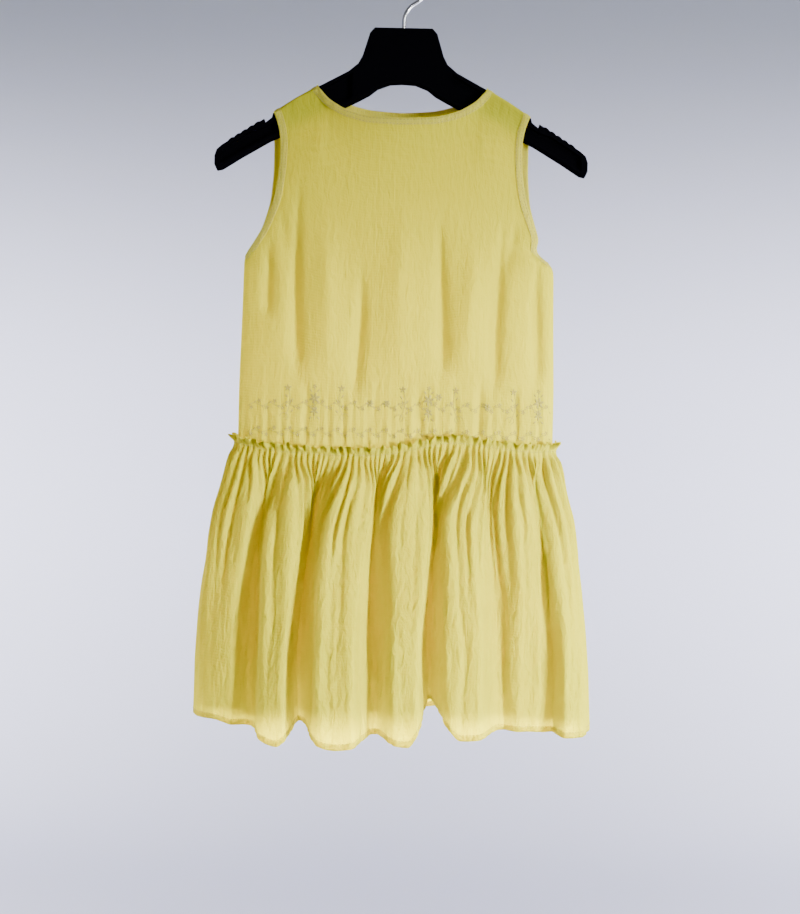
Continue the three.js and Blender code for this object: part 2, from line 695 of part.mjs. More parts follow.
function recessOutline(hand) {
  const list = [];
  const at = (i) => recess.from + ((recess.to - recess.from) * i) / recess.steps;
  const deeper = (x) => (x > notch.from - 8 && x < notch.to + 8 ? rimHeight + notch.depth : rimHeight);
  for (let i = 0; i <= recess.steps; i += 1) {
    list.push({ x: hand * at(i), z: between(hangerTop, at(i), 'x', 'z') - deeper(at(i)) });
  }
  for (let i = recess.steps; i >= 0; i -= 1) {
    list.push({ x: hand * at(i), z: between(hangerBottom, at(i), 'x', 'z') + rimHeight });
  }
  return list;
}

function hangerGeometry() {
  const top = armTop();
  const half = [...top, ...[...hangerBottom].reverse()];
  const mirrored = half.map(({ x, z }) => ({ x: -x, z })).reverse();
  const outline = [...half.slice(1, -1), hangerBottom[0], ...mirrored.slice(1, -1), hangerTop[0]];
  let solid = solidOf(plate(outline, -hangerHalfDepth, hangerHalfDepth, hangerChamfer));
  for (const hand of [-1, 1]) {
    for (const face of [-1, 1]) {
      const near = face * webHalf;
      const far = face * (hangerHalfDepth + 1);
      const cutter = plate(recessOutline(hand), Math.min(near, far), Math.max(near, far));
      solid = solid.subtract(solidOf(cutter));
    }
  }
  const boreRadius = hook.wireRadius + seamGap;
  const bore = new THREE.CylinderGeometry(boreRadius, boreRadius, hook.socketDepth + 3, 16);
  bore.rotateX(Math.PI / 2);
  bore.translate(0, 0, blockTop - hook.socketDepth / 2 + 1.5 - seamGap);
  return geometryFrom(solid.subtract(solidOf(bore)));
}

// The hook's centre line: up the stem, a bend aside, then round the crown to its tip
function hookGeometry() {
  const crown = hook.innerRadius + hook.wireRadius;
  const centre = -hook.innerRadius;
  const lean = THREE.MathUtils.degToRad(hook.lean);
  const join = new THREE.Vector2(crown * Math.cos(lean), centre - crown * Math.sin(lean));
  const bendTurn = Math.PI / 2 - lean + Math.PI / 6;
  const bendRadius = join.x / (1 - Math.cos(bendTurn));
  const bendStart = join.y - bendRadius * Math.sin(bendTurn);
  const points = [new THREE.Vector3(0, 0, blockTop - hook.socketDepth)];
  points.push(new THREE.Vector3(0, 0, (blockTop + bendStart) / 2));
  const bendSteps = 6;
  for (let i = 0; i < bendSteps; i += 1) {
    const turn = (bendTurn * i) / bendSteps;
    points.push(new THREE.Vector3(
      bendRadius * (1 - Math.cos(turn)), 0, bendStart + bendRadius * Math.sin(turn)));
  }
  const crownSteps = 20;
  const tip = THREE.MathUtils.degToRad(hook.tip);
  for (let i = 0; i <= crownSteps; i += 1) {
    const turn = -lean + ((tip + lean) * i) / crownSteps;
    points.push(new THREE.Vector3(crown * Math.cos(turn), 0, centre + crown * Math.sin(turn)));
  }
  const path = new THREE.CatmullRomCurve3(points, false, 'centripetal');
  const section = new THREE.Shape().absarc(0, 0, hook.wireRadius, 0, Math.PI * 2);
  return new THREE.ExtrudeGeometry(section, { steps: 32, curveSegments: 4, extrudePath: path });
}

const cloth = new THREE.MeshStandardMaterial({
  name: 'yellow_cotton', color: 0xd9c873, roughness: 0.9, side: THREE.DoubleSide,
});
const trim = new THREE.MeshStandardMaterial({
  name: 'yellow_binding', color: 0xd2bf66, roughness: 0.85,
});
const labelCloth = new THREE.MeshStandardMaterial({
  name: 'label_cloth', color: 0x9aa394, roughness: 0.8,
});
const blackPlastic = new THREE.MeshStandardMaterial({
  name: 'black_plastic', color: 0x1b1b1f, roughness: 0.5,
});
const steel = new THREE.MeshStandardMaterial({
  name: 'hook_steel', color: 0xb9bcc0, roughness: 0.3, metalness: 1,
});

const dress = new THREE.Group();
function add(name, geometry, material) {
  const mesh = new THREE.Mesh(geometry, material);
  mesh.name = name;
  dress.add(mesh);
}

for (const side of ['front', 'back']) {
  add(`bodice_${side}`, bodicePanel(side), cloth);
  add(`skirt_${side}`, skirtPanel(side), cloth);
}
add('skirt_lining', skirtLining(), cloth);
add('neck_binding', neckBinding(), trim);
add('armhole_binding_left', armholeBinding(-1), trim);
add('armhole_binding_right', armholeBinding(1), trim);
add('neck_label', backPatch(label), labelCloth);
add('size_tab', backPatch({ ...sizeTab, top: label.top - label.height - seamGap }), labelCloth);
add('hanger', hangerGeometry(), blackPlastic);
add('hanger_hook', hookGeometry(), steel);

export default dress;
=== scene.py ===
# %% [markdown]
# # A child's sundress on a hanger
# A yellow cotton dress hangs from a moulded hanger. The solid part gives every size here. Each
# panel becomes a thin cloth laid on its solid, with finer gathers and creases, and is then sewn.
# Tables are in millimetres, and every finished mesh is in metres.

import math

import bmesh
import bpy
import numpy as np
from mathutils import Matrix, Vector


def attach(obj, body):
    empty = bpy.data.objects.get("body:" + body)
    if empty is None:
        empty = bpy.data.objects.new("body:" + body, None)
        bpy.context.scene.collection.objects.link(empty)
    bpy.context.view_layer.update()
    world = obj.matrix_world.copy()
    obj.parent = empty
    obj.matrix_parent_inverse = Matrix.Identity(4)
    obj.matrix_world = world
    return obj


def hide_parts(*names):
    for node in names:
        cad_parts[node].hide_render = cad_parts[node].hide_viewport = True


MM = 0.001
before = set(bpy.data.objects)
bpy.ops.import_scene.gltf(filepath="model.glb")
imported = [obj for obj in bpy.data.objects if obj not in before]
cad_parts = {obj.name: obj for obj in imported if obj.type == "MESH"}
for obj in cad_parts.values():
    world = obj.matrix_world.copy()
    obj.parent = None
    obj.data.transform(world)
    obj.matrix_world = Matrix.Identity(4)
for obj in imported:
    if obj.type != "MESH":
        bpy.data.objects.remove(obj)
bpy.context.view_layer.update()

# %% [markdown]
# ## Tables and how they are read
# Every form comes from short tables with named columns. A value between two rows lies on a
# straight line, and averaging it over a small distance rounds the corners, as soft cloth does.


# %% Table helpers
def table(names, *rows):
    """A short table as named columns."""
    return dict(zip(names.split(), np.array(rows, float).T))


def read(rows, position, column, at, soften=0.0):
    """The column's value at a position, averaged over a distance to either side."""
    order = np.argsort(rows[position], kind="stable")
    xs, ys = rows[position][order], rows[column][order]
    steps = (-1, -0.5, 0, 0.5, 1)
    return sum(np.interp(at + soften * step, xs, ys) for step in steps) / len(steps)


def smooth(value):
    """Rises from 0 to 1 with level ends."""
    inside = np.clip(value, 0, 1)
    return inside * inside * (3 - 2 * inside)


def pleat(phase):
    """A wave with broad crests and narrow troughs, from -1 to 1."""
    return 2 * np.abs(np.cos(phase / 2)) ** 0.75 - 1


def ripple(at, *waves):
    """A sum of sine waves, each a height, a number of turns and a start."""
    return sum(height * np.sin(2 * np.pi * turns * at + start) for height, turns, start in waves)


def unit(vectors):
    """The same directions with a length of 1."""
    length = np.linalg.norm(vectors, axis=-1, keepdims=True)
    return vectors / np.maximum(length, 1e-9)


# %% [markdown]
# ## A sheet from a grid
# A woven cloth is a grid of threads, so each sheet starts as a flat grid whose vertices are then
# moved to their places. The grid keeps its texture coordinates, so the weave follows the cloth.
# Solidify gives it a real thickness on its inner side.


# %% Sheet and tube makers
def grid_sheet(name, points, weld=False):
    """A grid mesh with its vertices at points, an array of rows, columns and coordinates."""
    rows, columns = points.shape[:2]
    bm = bmesh.new()
    bm.loops.layers.uv.new("UVMap")
    bmesh.ops.create_grid(
        bm, x_segments=columns - 1, y_segments=rows - 1, size=0.5, calc_uvs=True
    )
    for vertex in bm.verts:
        column = round((vertex.co.x + 0.5) * (columns - 1))
        row = round((0.5 - vertex.co.y) * (rows - 1))
        vertex.co = points[row, column] * MM
    if weld:
        bmesh.ops.remove_doubles(bm, verts=bm.verts, dist=0.00002)
    for face in bm.faces:
        face.smooth = True
    return finished(name, bm)


def finished(name, bm):
    """The edited mesh as an object at the origin that rides on the hanger's body."""
    mesh = bpy.data.meshes.new(name)
    bm.to_mesh(mesh)
    bm.free()
    piece = bpy.data.objects.new(name, mesh)
    bpy.context.scene.collection.objects.link(piece)
    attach(piece, "root")
    return piece


def thicken(piece, thickness):
    """Gives a sheet a thickness in millimetres behind its outer face."""
    shell = piece.modifiers.new("thickness", "SOLIDIFY")
    shell.thickness = thickness * MM
    shell.offset = -1
    return piece


def area_of(piece):
    """The area of a sheet's one face, in square metres."""
    return sum(face.area for face in piece.data.polygons)


def loft(name, centres, first, second, section, closed=False):
    """Carries a section, pairs along first and second, along a line of centres."""
    rows = [centres + first * a + second * b for a, b in section]
    points = np.array(rows + rows[:1])
    if closed:
        points = np.concatenate([points, points[:, :1]], axis=1)
    return grid_sheet(name, points, weld=True)


def line_frames(points):
    """Two directions across a line at each of its points, without a sudden twist."""
    along = unit(np.gradient(points, axis=0))
    start = np.cross(along[0], (0.3, 1.0, 0.2))
    firsts = [start / np.linalg.norm(start)]
    for direction in along[1:]:
        turned = firsts[-1] - direction * np.dot(firsts[-1], direction)
        firsts.append(turned / np.linalg.norm(turned))
    firsts = np.array(firsts)
    return firsts, np.cross(along, firsts)


def circle(radius, sides):
    """The section of a round cord."""
    turns = [2 * math.pi * k / sides for k in range(sides)]
    return [(radius * math.cos(turn), radius * math.sin(turn)) for turn in turns]


def tube(name, points, radius, sides):
    """A round cord or wire along a line of points."""
    first, second = line_frames(points)
    return loft(name, points, first, second, circle(radius, sides))


# %% [markdown]
# ## Cloth and other materials
# Thin cotton lets light through, and that is what makes its deep folds glow a warmer yellow than
# its crests. A mix of a matt surface and a translucent one does this. The threads are a fine
# bump along the cloth's own texture coordinates, with a longer crinkle over them, which is
# looser on the skirt. The black plastic has next to no shine, because the light from behind
# would else draw a white rim round it.


# %% Material makers
COTTON_ROUGHNESS, COTTON_SHEEN, SHEEN_ROUGHNESS, COTTON_SHINE = 0.82, 0.05, 0.5, 0.15
SLUB_STRETCH, SLUB_DETAIL = (90, 7, 1), 3.0
CRINKLE_STRETCH, CRINKLE_DETAIL, CRINKLE_DISTORTION = (210, 210, 62), 5.0, 0.6
CRINKLE_STRENGTH, FLAT_CRINKLE, LOOSE_CRINKLE = 0.8, 0.0026, 0.005
WEAVE_SCALES, WEAVE_DISTORTION = (38, 41), 2.5
WEAVE_STRENGTH, WEAVE_RELIEF = 0.3, 0.0002


def node(tree, kind, **settings):
    """A new node, with its inputs or its options set by name."""
    made = tree.nodes.new(kind)
    for key, value in settings.items():
        if key in made.inputs:
            made.inputs[key].default_value = value
        else:
            setattr(made, key, value)
    return made


def plain(name, colour, roughness, metallic=0.0):
    """A material of one colour."""
    material = bpy.data.materials.new(name)
    material.use_nodes = True
    shader = material.node_tree.nodes["Principled BSDF"]
    shader.inputs["Base Color"].default_value = (*colour, 1)
    shader.inputs["Roughness"].default_value = roughness
    shader.inputs["Metallic"].default_value = metallic
    return material


def cotton(name, pale, deep, glow, through, crinkle=FLAT_CRINKLE):
    """Woven cotton: colours by streaks of thread, some light let through, weave and crinkle."""
    material = plain(name, pale, COTTON_ROUGHNESS)
    tree = material.node_tree
    links = tree.links
    shader = tree.nodes["Principled BSDF"]
    shader.inputs["Sheen Weight"].default_value = COTTON_SHEEN
    shader.inputs["Sheen Roughness"].default_value = SHEEN_ROUGHNESS
    shader.inputs["Specular IOR Level"].default_value = COTTON_SHINE
    grid = node(tree, "ShaderNodeUVMap", uv_map="UVMap")
    stretch = node(tree, "ShaderNodeMapping", Scale=SLUB_STRETCH)
    links.new(grid.outputs["UV"], stretch.inputs["Vector"])
    slubs = node(tree, "ShaderNodeTexNoise", Scale=1.0, Detail=SLUB_DETAIL)
    links.new(stretch.outputs["Vector"], slubs.inputs["Vector"])
    shade = node(tree, "ShaderNodeMix", data_type="RGBA")
    shade.inputs[6].default_value = (*pale, 1)
    shade.inputs[7].default_value = (*deep, 1)
    links.new(slubs.outputs["Fac"], shade.inputs[0])
    links.new(shade.outputs[2], shader.inputs["Base Color"])
    place = node(tree, "ShaderNodeTexCoord")
    soft = node(tree, "ShaderNodeMapping", Scale=CRINKLE_STRETCH)
    links.new(place.outputs["Object"], soft.inputs["Vector"])
    creases = node(
        tree, "ShaderNodeTexNoise", Scale=1.0, Detail=CRINKLE_DETAIL, Distortion=CRINKLE_DISTORTION
    )
    links.new(soft.outputs["Vector"], creases.inputs["Vector"])
    crinkles = node(tree, "ShaderNodeBump", Strength=CRINKLE_STRENGTH, Distance=crinkle)
    links.new(creases.outputs["Fac"], crinkles.inputs["Height"])
    both_ways = node(tree, "ShaderNodeMath", operation="ADD")
    for k, (scale, direction) in enumerate(zip(WEAVE_SCALES, ("X", "Y"))):
        wave = node(
            tree, "ShaderNodeTexWave", wave_type="BANDS", bands_direction=direction,
            Scale=scale, Distortion=WEAVE_DISTORTION,
        )
        links.new(grid.outputs["UV"], wave.inputs["Vector"])
        links.new(wave.outputs["Fac"], both_ways.inputs[k])
    weave = node(tree, "ShaderNodeBump", Strength=WEAVE_STRENGTH, Distance=WEAVE_RELIEF)
    links.new(both_ways.outputs[0], weave.inputs["Height"])
    links.new(crinkles.outputs["Normal"], weave.inputs["Normal"])
    links.new(weave.outputs["Normal"], shader.inputs["Normal"])
    lit = node(tree, "ShaderNodeBsdfTranslucent", Color=(*glow, 1))
    links.new(weave.outputs["Normal"], lit.inputs["Normal"])
    both = node(tree, "ShaderNodeMixShader")
    both.inputs[0].default_value = through
    links.new(shader.outputs[0], both.inputs[1])
    links.new(lit.outputs[0], both.inputs[2])
    links.new(both.outputs[0], tree.nodes["Material Output"].inputs["Surface"])
    return material


# %% Cloths, thread, plastic and wire
PALE, DEEP, GLOW = (0.76, 0.775, 0.035), (0.70, 0.685, 0.015), (0.92, 0.835, 0.001)
CLOTH_THROUGH, LINING_THROUGH, BINDING_THROUGH, THREAD_THROUGH = 0.58, 0.92, 0.48, 0.34

yellow = cotton("yellow_cotton", PALE, DEEP, GLOW, CLOTH_THROUGH)
skirt_yellow = cotton("yellow_skirt_cotton", PALE, DEEP, GLOW, CLOTH_THROUGH, LOOSE_CRINKLE)
lining_cloth = cotton(
    "yellow_lining", (0.84, 0.82, 0.12), (0.80, 0.77, 0.08), (0.97, 0.92, 0.1), LINING_THROUGH
)
binding_cloth = cotton(
    "yellow_binding", (0.80, 0.77, 0.12), (0.74, 0.69, 0.06), (0.9, 0.8, 0.01), BINDING_THROUGH
)
thread = cotton(
    "pale_thread", (0.52, 0.48, 0.12), (0.44, 0.40, 0.08), (0.74, 0.64, 0.01), THREAD_THROUGH
)
band_thread = plain("binding_thread", (0.50, 0.42, 0.06), roughness=0.6)
label_cloth = plain("label_cloth", (0.30, 0.33, 0.28), roughness=0.75)
black_plastic = plain("black_plastic", (0.0012, 0.0012, 0.002), roughness=0.5)
black_shader = black_plastic.node_tree.nodes["Principled BSDF"]
black_shader.inputs["Specular IOR Level"].default_value = 0.02
black_shader.inputs["IOR"].default_value = 1.0
steel = plain("hook_steel", (0.66, 0.67, 0.69), roughness=0.22, metallic=1.0)
print("materials", len(bpy.data.materials))


def dress_in(piece, material, slot, *nodes):
    """Gives a piece its material and hides the solids that it stands for. The slot is not used."""
    piece.data.materials.append(material)
    if nodes:
        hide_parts(*nodes)
    return piece


# %% [markdown]
# ## Sizes of the dress
# The cloth stands on the solid, so its tables follow the solid's: the hanger's top edge, the
# neck, the side of the bodice from shoulder tip to seam, and the rise and fall of the waist.

# %% Tables of the bodice
SHOULDER_TIP, NECK_POINT, BESIDE_HANGER = 120, 81, 80.2
NECK_CORNER = (NECK_POINT + BESIDE_HANGER) / 2
OVER_HANGER, NECK_HALF_DEPTH, ABOVE_HANGER = 7.6, 22, 2.1
WAIST, HEM, LINING_HEM = -457, -713, -671
LOWEST, UNDERARM = WAIST - 2, -280
HALF_SEAM, HALF_WIDTH = 0.15, 148
CLOTH, THIN_CLOTH, LABEL_CLOTH = 0.45, 0.35, 0.5

HANGER_TOP = table(
    "x z", (0, -62), (27, -62), (31.5, -67), (34.5, -77), (38, -88.5), (42, -96),
    (51, -103.5), (64, -110.5), (81, -119.6), (100, -130.5), (124, -146.5), (150, -163),
)
NECK = {
    "front": table(
        "x z", (0, -151.5), (32, -149.5), (55, -142), (70, -131.5), (76, -124.5),
        (80.2, -117.2), (81, -117.5),
    ),
    "back": table(
        "x z", (0, -135.6), (32, -134), (55, -129), (70, -123), (76, -119.2),
        (80.2, -117.2), (81, -117.5),
    ),
}
BODICE_SIDE = table(
    "z front back reach depth round",
    (-142.5, 120, 121, 8, 20, 1), (-155, 114.5, 120.5, 9, 20, 1), (-172, 112, 119.5, 10, 21, 1),
    (-198, 112.5, 120, 11.5, 22, 1), (-225, 116.5, 122.5, 12, 23, 0.9),
    (-250, 126, 129.5, 10, 24, 0.8), (-268, 136.5, 137, 6.5, 24, 0.7),
    (-280, 145.5, 145.5, 0, 24.5, 0.55), (-340, 146.5, 146.5, 0, 27, 0.45),
    (-400, 148, 148, 0, 30, 0.35), (-475, 148, 148, 0, 32, 0.3),
)
WAIST_RISE = {
    "front": table(
        "x rise", (-150, 5), (-122, -3), (-57, -7), (-10, -6), (22, 1), (54, 8), (88, 3),
        (132, -1), (150, 2.5),
    ),
    "back": table(
        "x rise", (-150, 5), (-104, -2), (-52, 4), (0, -4), (46, -6), (98, 2), (150, 2.5),
    ),
}
BODICE_FOLDS = {
    "front": table(
        "x top bottom width depth lean",
        (-122, -250, -345, 5, -3, 6), (-94, -196, -408, 5.5, -4, 5), (-66, -230, -400, 12, 3, 0),
        (-36, -276, -420, 5, -3.4, -3), (2, -220, -400, 15, 2.5, 3), (40, -228, -404, 5.5, -3.8, 1),
        (66, -240, -390, 11, 2.5, -3), (93, -226, -418, 5.5, -4.2, -4), (130, -262, -410, 5, -3, -3),
        (-82, -390, -452, 3.5, -0.8, 3), (-20, -392, -455, 3, -1.2, 0),
        (22, -390, -452, 3.5, -1.3, -2), (55, -398, -455, 3, -1.4, 2),
        (78, -382, -455, 3.5, -1.6, 4), (112, -392, -452, 3, -1.2, -2),
        (-108, -215, -300, 5, -1.4, 9), (106, -225, -300, 5, -1.4, -9),
    ),
    "back": table(
        "x top bottom width depth lean",
        (-112, -260, -410, 5, -3.4, 3), (-80, -205, -410, 6, -4, 3), (-48, -240, -400, 12, 3, 0),
        (-14, -255, -415, 5, -3.4, 2), (22, -220, -390, 13, 2.5, 0), (58, -225, -410, 6, -4.2, -3),
        (104, -265, -415, 5, -3.4, -3), (-96, -388, -452, 3.5, -1.3, 2),
        (-32, -392, -455, 3, -1.2, -1), (38, -390, -452, 3.5, -1.4, 1),
        (82, -385, -452, 3.5, -1.3, -2),
    ),
}


def hanger_edge(distance):
    """The height of the hanger's top edge at a distance from its middle."""
    return read(HANGER_TOP, "x", "z", distance, 3)


SIDE_LENGTH = float(hanger_edge(SHOULDER_TIP)) + ABOVE_HANGER - LOWEST


# %% [markdown]
# ## The bodice
# A panel runs across from one armhole to the other and down from its top edge to the waist. Its
# top turns over the hanger along each shoulder. It could be cut and draped by simulation, but the
# solid already says where it hangs, so the cloth is laid on that form and the creases are placed
# one by one: large soft ones that run down to the waist, small ones just above the gathers, short
# slanting ones from the armholes and level ones below the shoulders. Under the right arm a tuck
# pulls the side in, where the binding draws the cloth together.


# %% The bodice's form
ROLL, CHEST_DROP = 4, 66
SHOULDER_COLUMNS, NECK_COLUMNS, PANEL_ROWS = 36, 74, 128
TUCK_DEPTH, TUCK_LEVEL, TUCK_HEIGHT = 10, -271, 10


def waist_rise(side, x):
    """How far the gathered seam lies above or below its mean height."""
    return read(WAIST_RISE[side], "x", "rise", x if side == "front" else -x, 12)


def bodice_top(side, distance):
    """The height of the neck edge, or of the shoulder's crest beyond the neck corner."""
    soften = 5 * smooth((74 - distance) / 14)
    neck = read(NECK[side], "x", "z", distance, soften)
    return np.where(distance > NECK_CORNER, hanger_edge(distance) + ABOVE_HANGER, neck)


def bodice_creases(side, x, z):
    """How far the folds and creases stand out, in mm."""
    folds = BODICE_FOLDS[side]
    total = np.zeros_like(x)
    for i in range(len(folds["x"])):
        share = (folds["top"][i] - z) / (folds["top"][i] - folds["bottom"][i])
        along = 1.3 * smooth(share / 0.5) * smooth((1 - share) / 0.25)
        middle = folds["x"][i] + folds["lean"][i] * (share - 0.5) + 1.6 * np.sin(5 * share + 2 * i)
        off = (x - middle) / (folds["width"][i] * (0.7 + 0.7 * np.clip(share, 0, 1)))
        total += folds["depth"][i] * along * np.exp(-np.abs(off) ** 1.6)
    low = 0.8 * smooth((-375 - z) / 75)
    total += low * ripple(x / 300, (0.45, 26.3, 0.4), (0.35, 41.7, 1.9), (0.3, 17.1, 3.0))
    high = smooth((z + 215) / 40) * smooth((-128 - z) / 25)
    total += high * ripple(z / 300 + 0.02 * np.sin(x / 17), (0.2, 31, 0.0), (0.16, 47, 1.3))
    return total


def bodice_point(side, across, drop):
    """Points on the outer face: across from -1 to 1, and the drop down the side in mm."""
    up = 1 - drop / SIDE_LENGTH
    distance = np.abs(across) * SHOULDER_TIP
    side_height = LOWEST + up * SIDE_LENGTH
    turn = 1 if side == "front" else -1
    x = across * read(BODICE_SIDE, "z", side, side_height, 5)
    tuck = np.exp(-(((side_height - TUCK_LEVEL) / TUCK_HEIGHT) ** 2))
    x = x - turn * TUCK_DEPTH * smooth((turn * x - 85) / 40) * tuck
    floor = LOWEST + waist_rise(side, x)
    top = bodice_top(side, distance)
    z = floor + up * (top - floor)
    below = top - z
    power = read(BODICE_SIDE, "z", "round", side_height, 6)
    rounded = np.clip(1 - across**2, 0, 1) ** power
    reach = read(BODICE_SIDE, "z", "reach", side_height, 4)
    chest = read(BODICE_SIDE, "z", "depth", z, 4) * rounded + reach * (1 - rounded)
    roll = OVER_HANGER * np.sqrt(1 - (1 - np.clip(below / ROLL, 0, 1)) ** 2)
    hollow = np.clip(distance / BESIDE_HANGER, 0, 1) ** 2
    neck = OVER_HANGER + (NECK_HALF_DEPTH - OVER_HANGER) * (1 - hollow)
    edge = np.where(distance > NECK_CORNER, roll, neck)
    grown = smooth((below - ROLL) / CHEST_DROP)
    fade = 1.6 * np.clip(rounded / 0.45, 0, 1) ** 2 * grown
    out = np.maximum(HALF_SEAM, edge + (chest - edge) * grown)
    out = np.maximum(HALF_SEAM, out + bodice_creases(side, x, z) * fade)
    return np.stack([turn * x, -turn * out, z + 0 * x], axis=-1)


def bodice_normal(side, across, drop):
    """The outward direction, from small steps that stay on one side of the neck corner."""
    step = 0.008
    on_shoulder = np.abs(across) * SHOULDER_TIP > NECK_CORNER

    def stepped(by):
        target = np.clip(across + by, -1, 1)
        kept = (np.abs(target) * SHOULDER_TIP > NECK_CORNER) == on_shoulder
        return np.where(kept, target, across)

    right = bodice_point(side, stepped(step), drop) - bodice_point(side, stepped(-step), drop)
    down = bodice_point(side, across, drop + 1) - bodice_point(side, across, np.maximum(0, drop - 1))
    return unit(np.cross(down, right))


def bodice_panel(side):
    """Rows of points of one panel, closer together over the hanger."""
    shoulder = np.linspace(1, NECK_POINT / SHOULDER_TIP, SHOULDER_COLUMNS)
    neck = np.linspace(BESIDE_HANGER / SHOULDER_TIP, 0, NECK_COLUMNS)
    half = np.concatenate([shoulder, neck])
    across = np.concatenate([-half, half[-2::-1]])
    roll = np.array([0, 0.08, 0.3, 0.7, 1.3, 2.1, 3, 4.2, 6])
    drops = np.concatenate([roll, np.linspace(2 * ROLL, SIDE_LENGTH, PANEL_ROWS)])
    grid_across, grid_drop = np.meshgrid(across, drops)
    return bodice_point(side, grid_across, grid_drop)


bodices = {}
for side in ("front", "back"):
    bodices[side] = thicken(grid_sheet(f"bodice_{side}_cloth", bodice_panel(side)), CLOTH)
    dress_in(bodices[side], yellow, "yellow_cotton", f"bodice_{side}")
    print("bodice", side, "area", round(area_of(bodices[side]), 4), "square metres")

# %% [markdown]
# ## The skirt
# Each half is one wide piece gathered into the waist. The gathers are close and deep at the seam,
# and run together into broad folds that swing out at the hem. Crests of the broad folds are given
# at the top, half way and at the hem. Columns of the grid follow them and are an even length of
# cloth apart, as the threads are. Above the seam the edge stands free as a small frill. A
# distance down the skirt is written as its part of the way from the seam, 0, to the hem, 1.

# %% Tables of the skirt
SKIRT_LENGTH = WAIST - HEM
FRILL_HEIGHT, HEM_TURN = 7, 5
FRILL = FRILL_HEIGHT / SKIRT_LENGTH
HEM_FOLD = 1 - HEM_TURN / SKIRT_LENGTH
FOLD_WIDTH = {"top": 162, "mid": 175, "hem": 184.5}
SKIRT_RINGS = table(
    "part width depth stand wave",
    (-FRILL, 148, 32, 8, 0.3), (0, 148, 32, 2.3, 0.4), (0.012, 148, 32.3, 3, 1.0),
    (0.035, 148.5, 33, 4.8, 2.1),
    (0.08, 150.5, 35, 4.8, 2.4), (0.15, 155, 38, 4.6, 1.9), (0.24, 162.5, 43, 4, 1.1),
    (0.36, 169, 47, 3, 0.25), (0.5, 174.5, 52, 2, 0), (0.65, 179, 56, 1, 0),
    (0.8, 182, 59, 1, 0), (0.92, 183.5, 61, 1, 0), (1, 184.5, 62, 1, 0),
)
FOLD_COLUMNS = "top mid hem out_top out_mid out_hem lift"
SKIRT_FOLDS = {
    "front": table(
        FOLD_COLUMNS,
        (-150, -156, -158, 2, 5, 8, 4), (-119, -125, -131, -4, -9, -10, 3),
        (-104, -103, -97, 3, 18, 34, -5), (-76, -82, -82, -6, -18, -22, 7),
        (-45, -47, -48, 5, 27, 50, -3), (-15, -16, -12, -5, -9, -2, 1),
        (15, 14, 18, 4, 18, 32, -3), (44, 36, 35, -6, -22, -36, 27), (66, 62, 64, 4, 10, 14, -1),
        (92, 95, 104, -4, -12, -22, 2), (118, 121, 126, 3, -1, -12, 2),
        (139, 143, 146, -5, -9, -14, 1), (152, 161, 167, 2, 8, 14, 0),
    ),
    "back": table(
        FOLD_COLUMNS,
        (-148, -155, -160, 2, 6, 10, 0), (-122, -128, -131, -4, -8, -12, 2),
        (-96, -98, -102, 3, 8, 16, 0), (-68, -68, -66, -6, -15, -19, 3),
        (-38, -36, -33, 4, 11, 20, -1), (-8, -4, 2, -5, -10, -14, 2),
        (24, 28, 31, 4, 10, 18, 0), (52, 57, 62, -6, -14, -20, 3), (84, 90, 96, 3, 9, 18, -1),
        (112, 119, 128, -4, -9, -14, 1), (146, 152, 158, 2, 6, 10, 0),
    ),
}


# %% The skirt's form
CLOSE_GATHERS, SMALL_FOLDS, BROAD_FOLDS, FRILL_WAVES, CREASES = 60, 31, 18, 37, 43
SKIRT_COLUMNS, SKIRT_ROWS, FRILL_ROWS = 452, 98, 7
STEADY_LEVEL, SETTLED_PART = 0.65, 0.3
SEAM_STAND, SEAM_RAMP = 3.1, 30
TUCKED_LEFT, RISEN_LEFT = 4, 8


def three_heights(folds, names, share, scale=(1, 1, 1)):
    """Each fold's value at a share of the way down, on a curve through three heights."""
    top, mid, hem = (folds[name][:, None] / by for name, by in zip(names, scale))
    weights = ((1 - share) * (1 - 2 * share), 4 * share * (1 - share), share * (2 * share - 1))
    return top * weights[0] + mid * weights[1] + hem * weights[2]


def skirt_body(side, place, part):
    """The folded line of the body: place counts crests from one side seam to the other."""
    folds = SKIRT_FOLDS[side]
    share = np.clip(part, 0, 1)
    width = read(SKIRT_RINGS, "part", "width", part, 0.02)
    depth = read(SKIRT_RINGS, "part", "depth", part, 0.02)
    crest_x = width * three_heights(folds, ("top", "mid", "hem"), share, FOLD_WIDTH.values())
    number = np.arange(len(folds["top"]))[:, None]
    crest_x = crest_x + 1.5 * smooth(share / 0.3) * np.sin(6.5 * share + 1.9 * number)
    crest_x = np.concatenate([[-width], crest_x, [width]])
    outs = three_heights(folds, ("out_top", "out_mid", "out_hem"), share) * smooth(share / 0.12)
    level = np.zeros((1, place.size))
    outs = np.concatenate([level, outs, level])
    lifts = np.concatenate([level, folds["lift"][:, None] * share**2, level])
    crest = np.clip(place.astype(int), 0, len(outs) - 2)
    along = place - crest
    every = np.arange(place.size)
    x = crest_x[crest, every] * (1 - along) + crest_x[crest + 1, every] * along
    deepened = smooth(share / 0.35)
    narrow = 0.15 * deepened * np.sign(outs[crest, every] - outs[crest + 1, every])
    blend = smooth((along - 0.5 - narrow) / (1 - 0.44 * deepened) + 0.5)
    out = outs[crest, every] * (1 - blend) + outs[crest + 1, every] * blend
    gentle = smooth(along)
    lift = lifts[crest, every] * (1 - gentle) + lifts[crest + 1, every] * gentle
    rounded = np.sqrt(np.clip(1 - (x / width) ** 2, 0, 1))
    fade = smooth(rounded / 0.3)
    return x, -(depth * rounded ** (0.6 - 0.1 * share) + out * fade), lift * fade


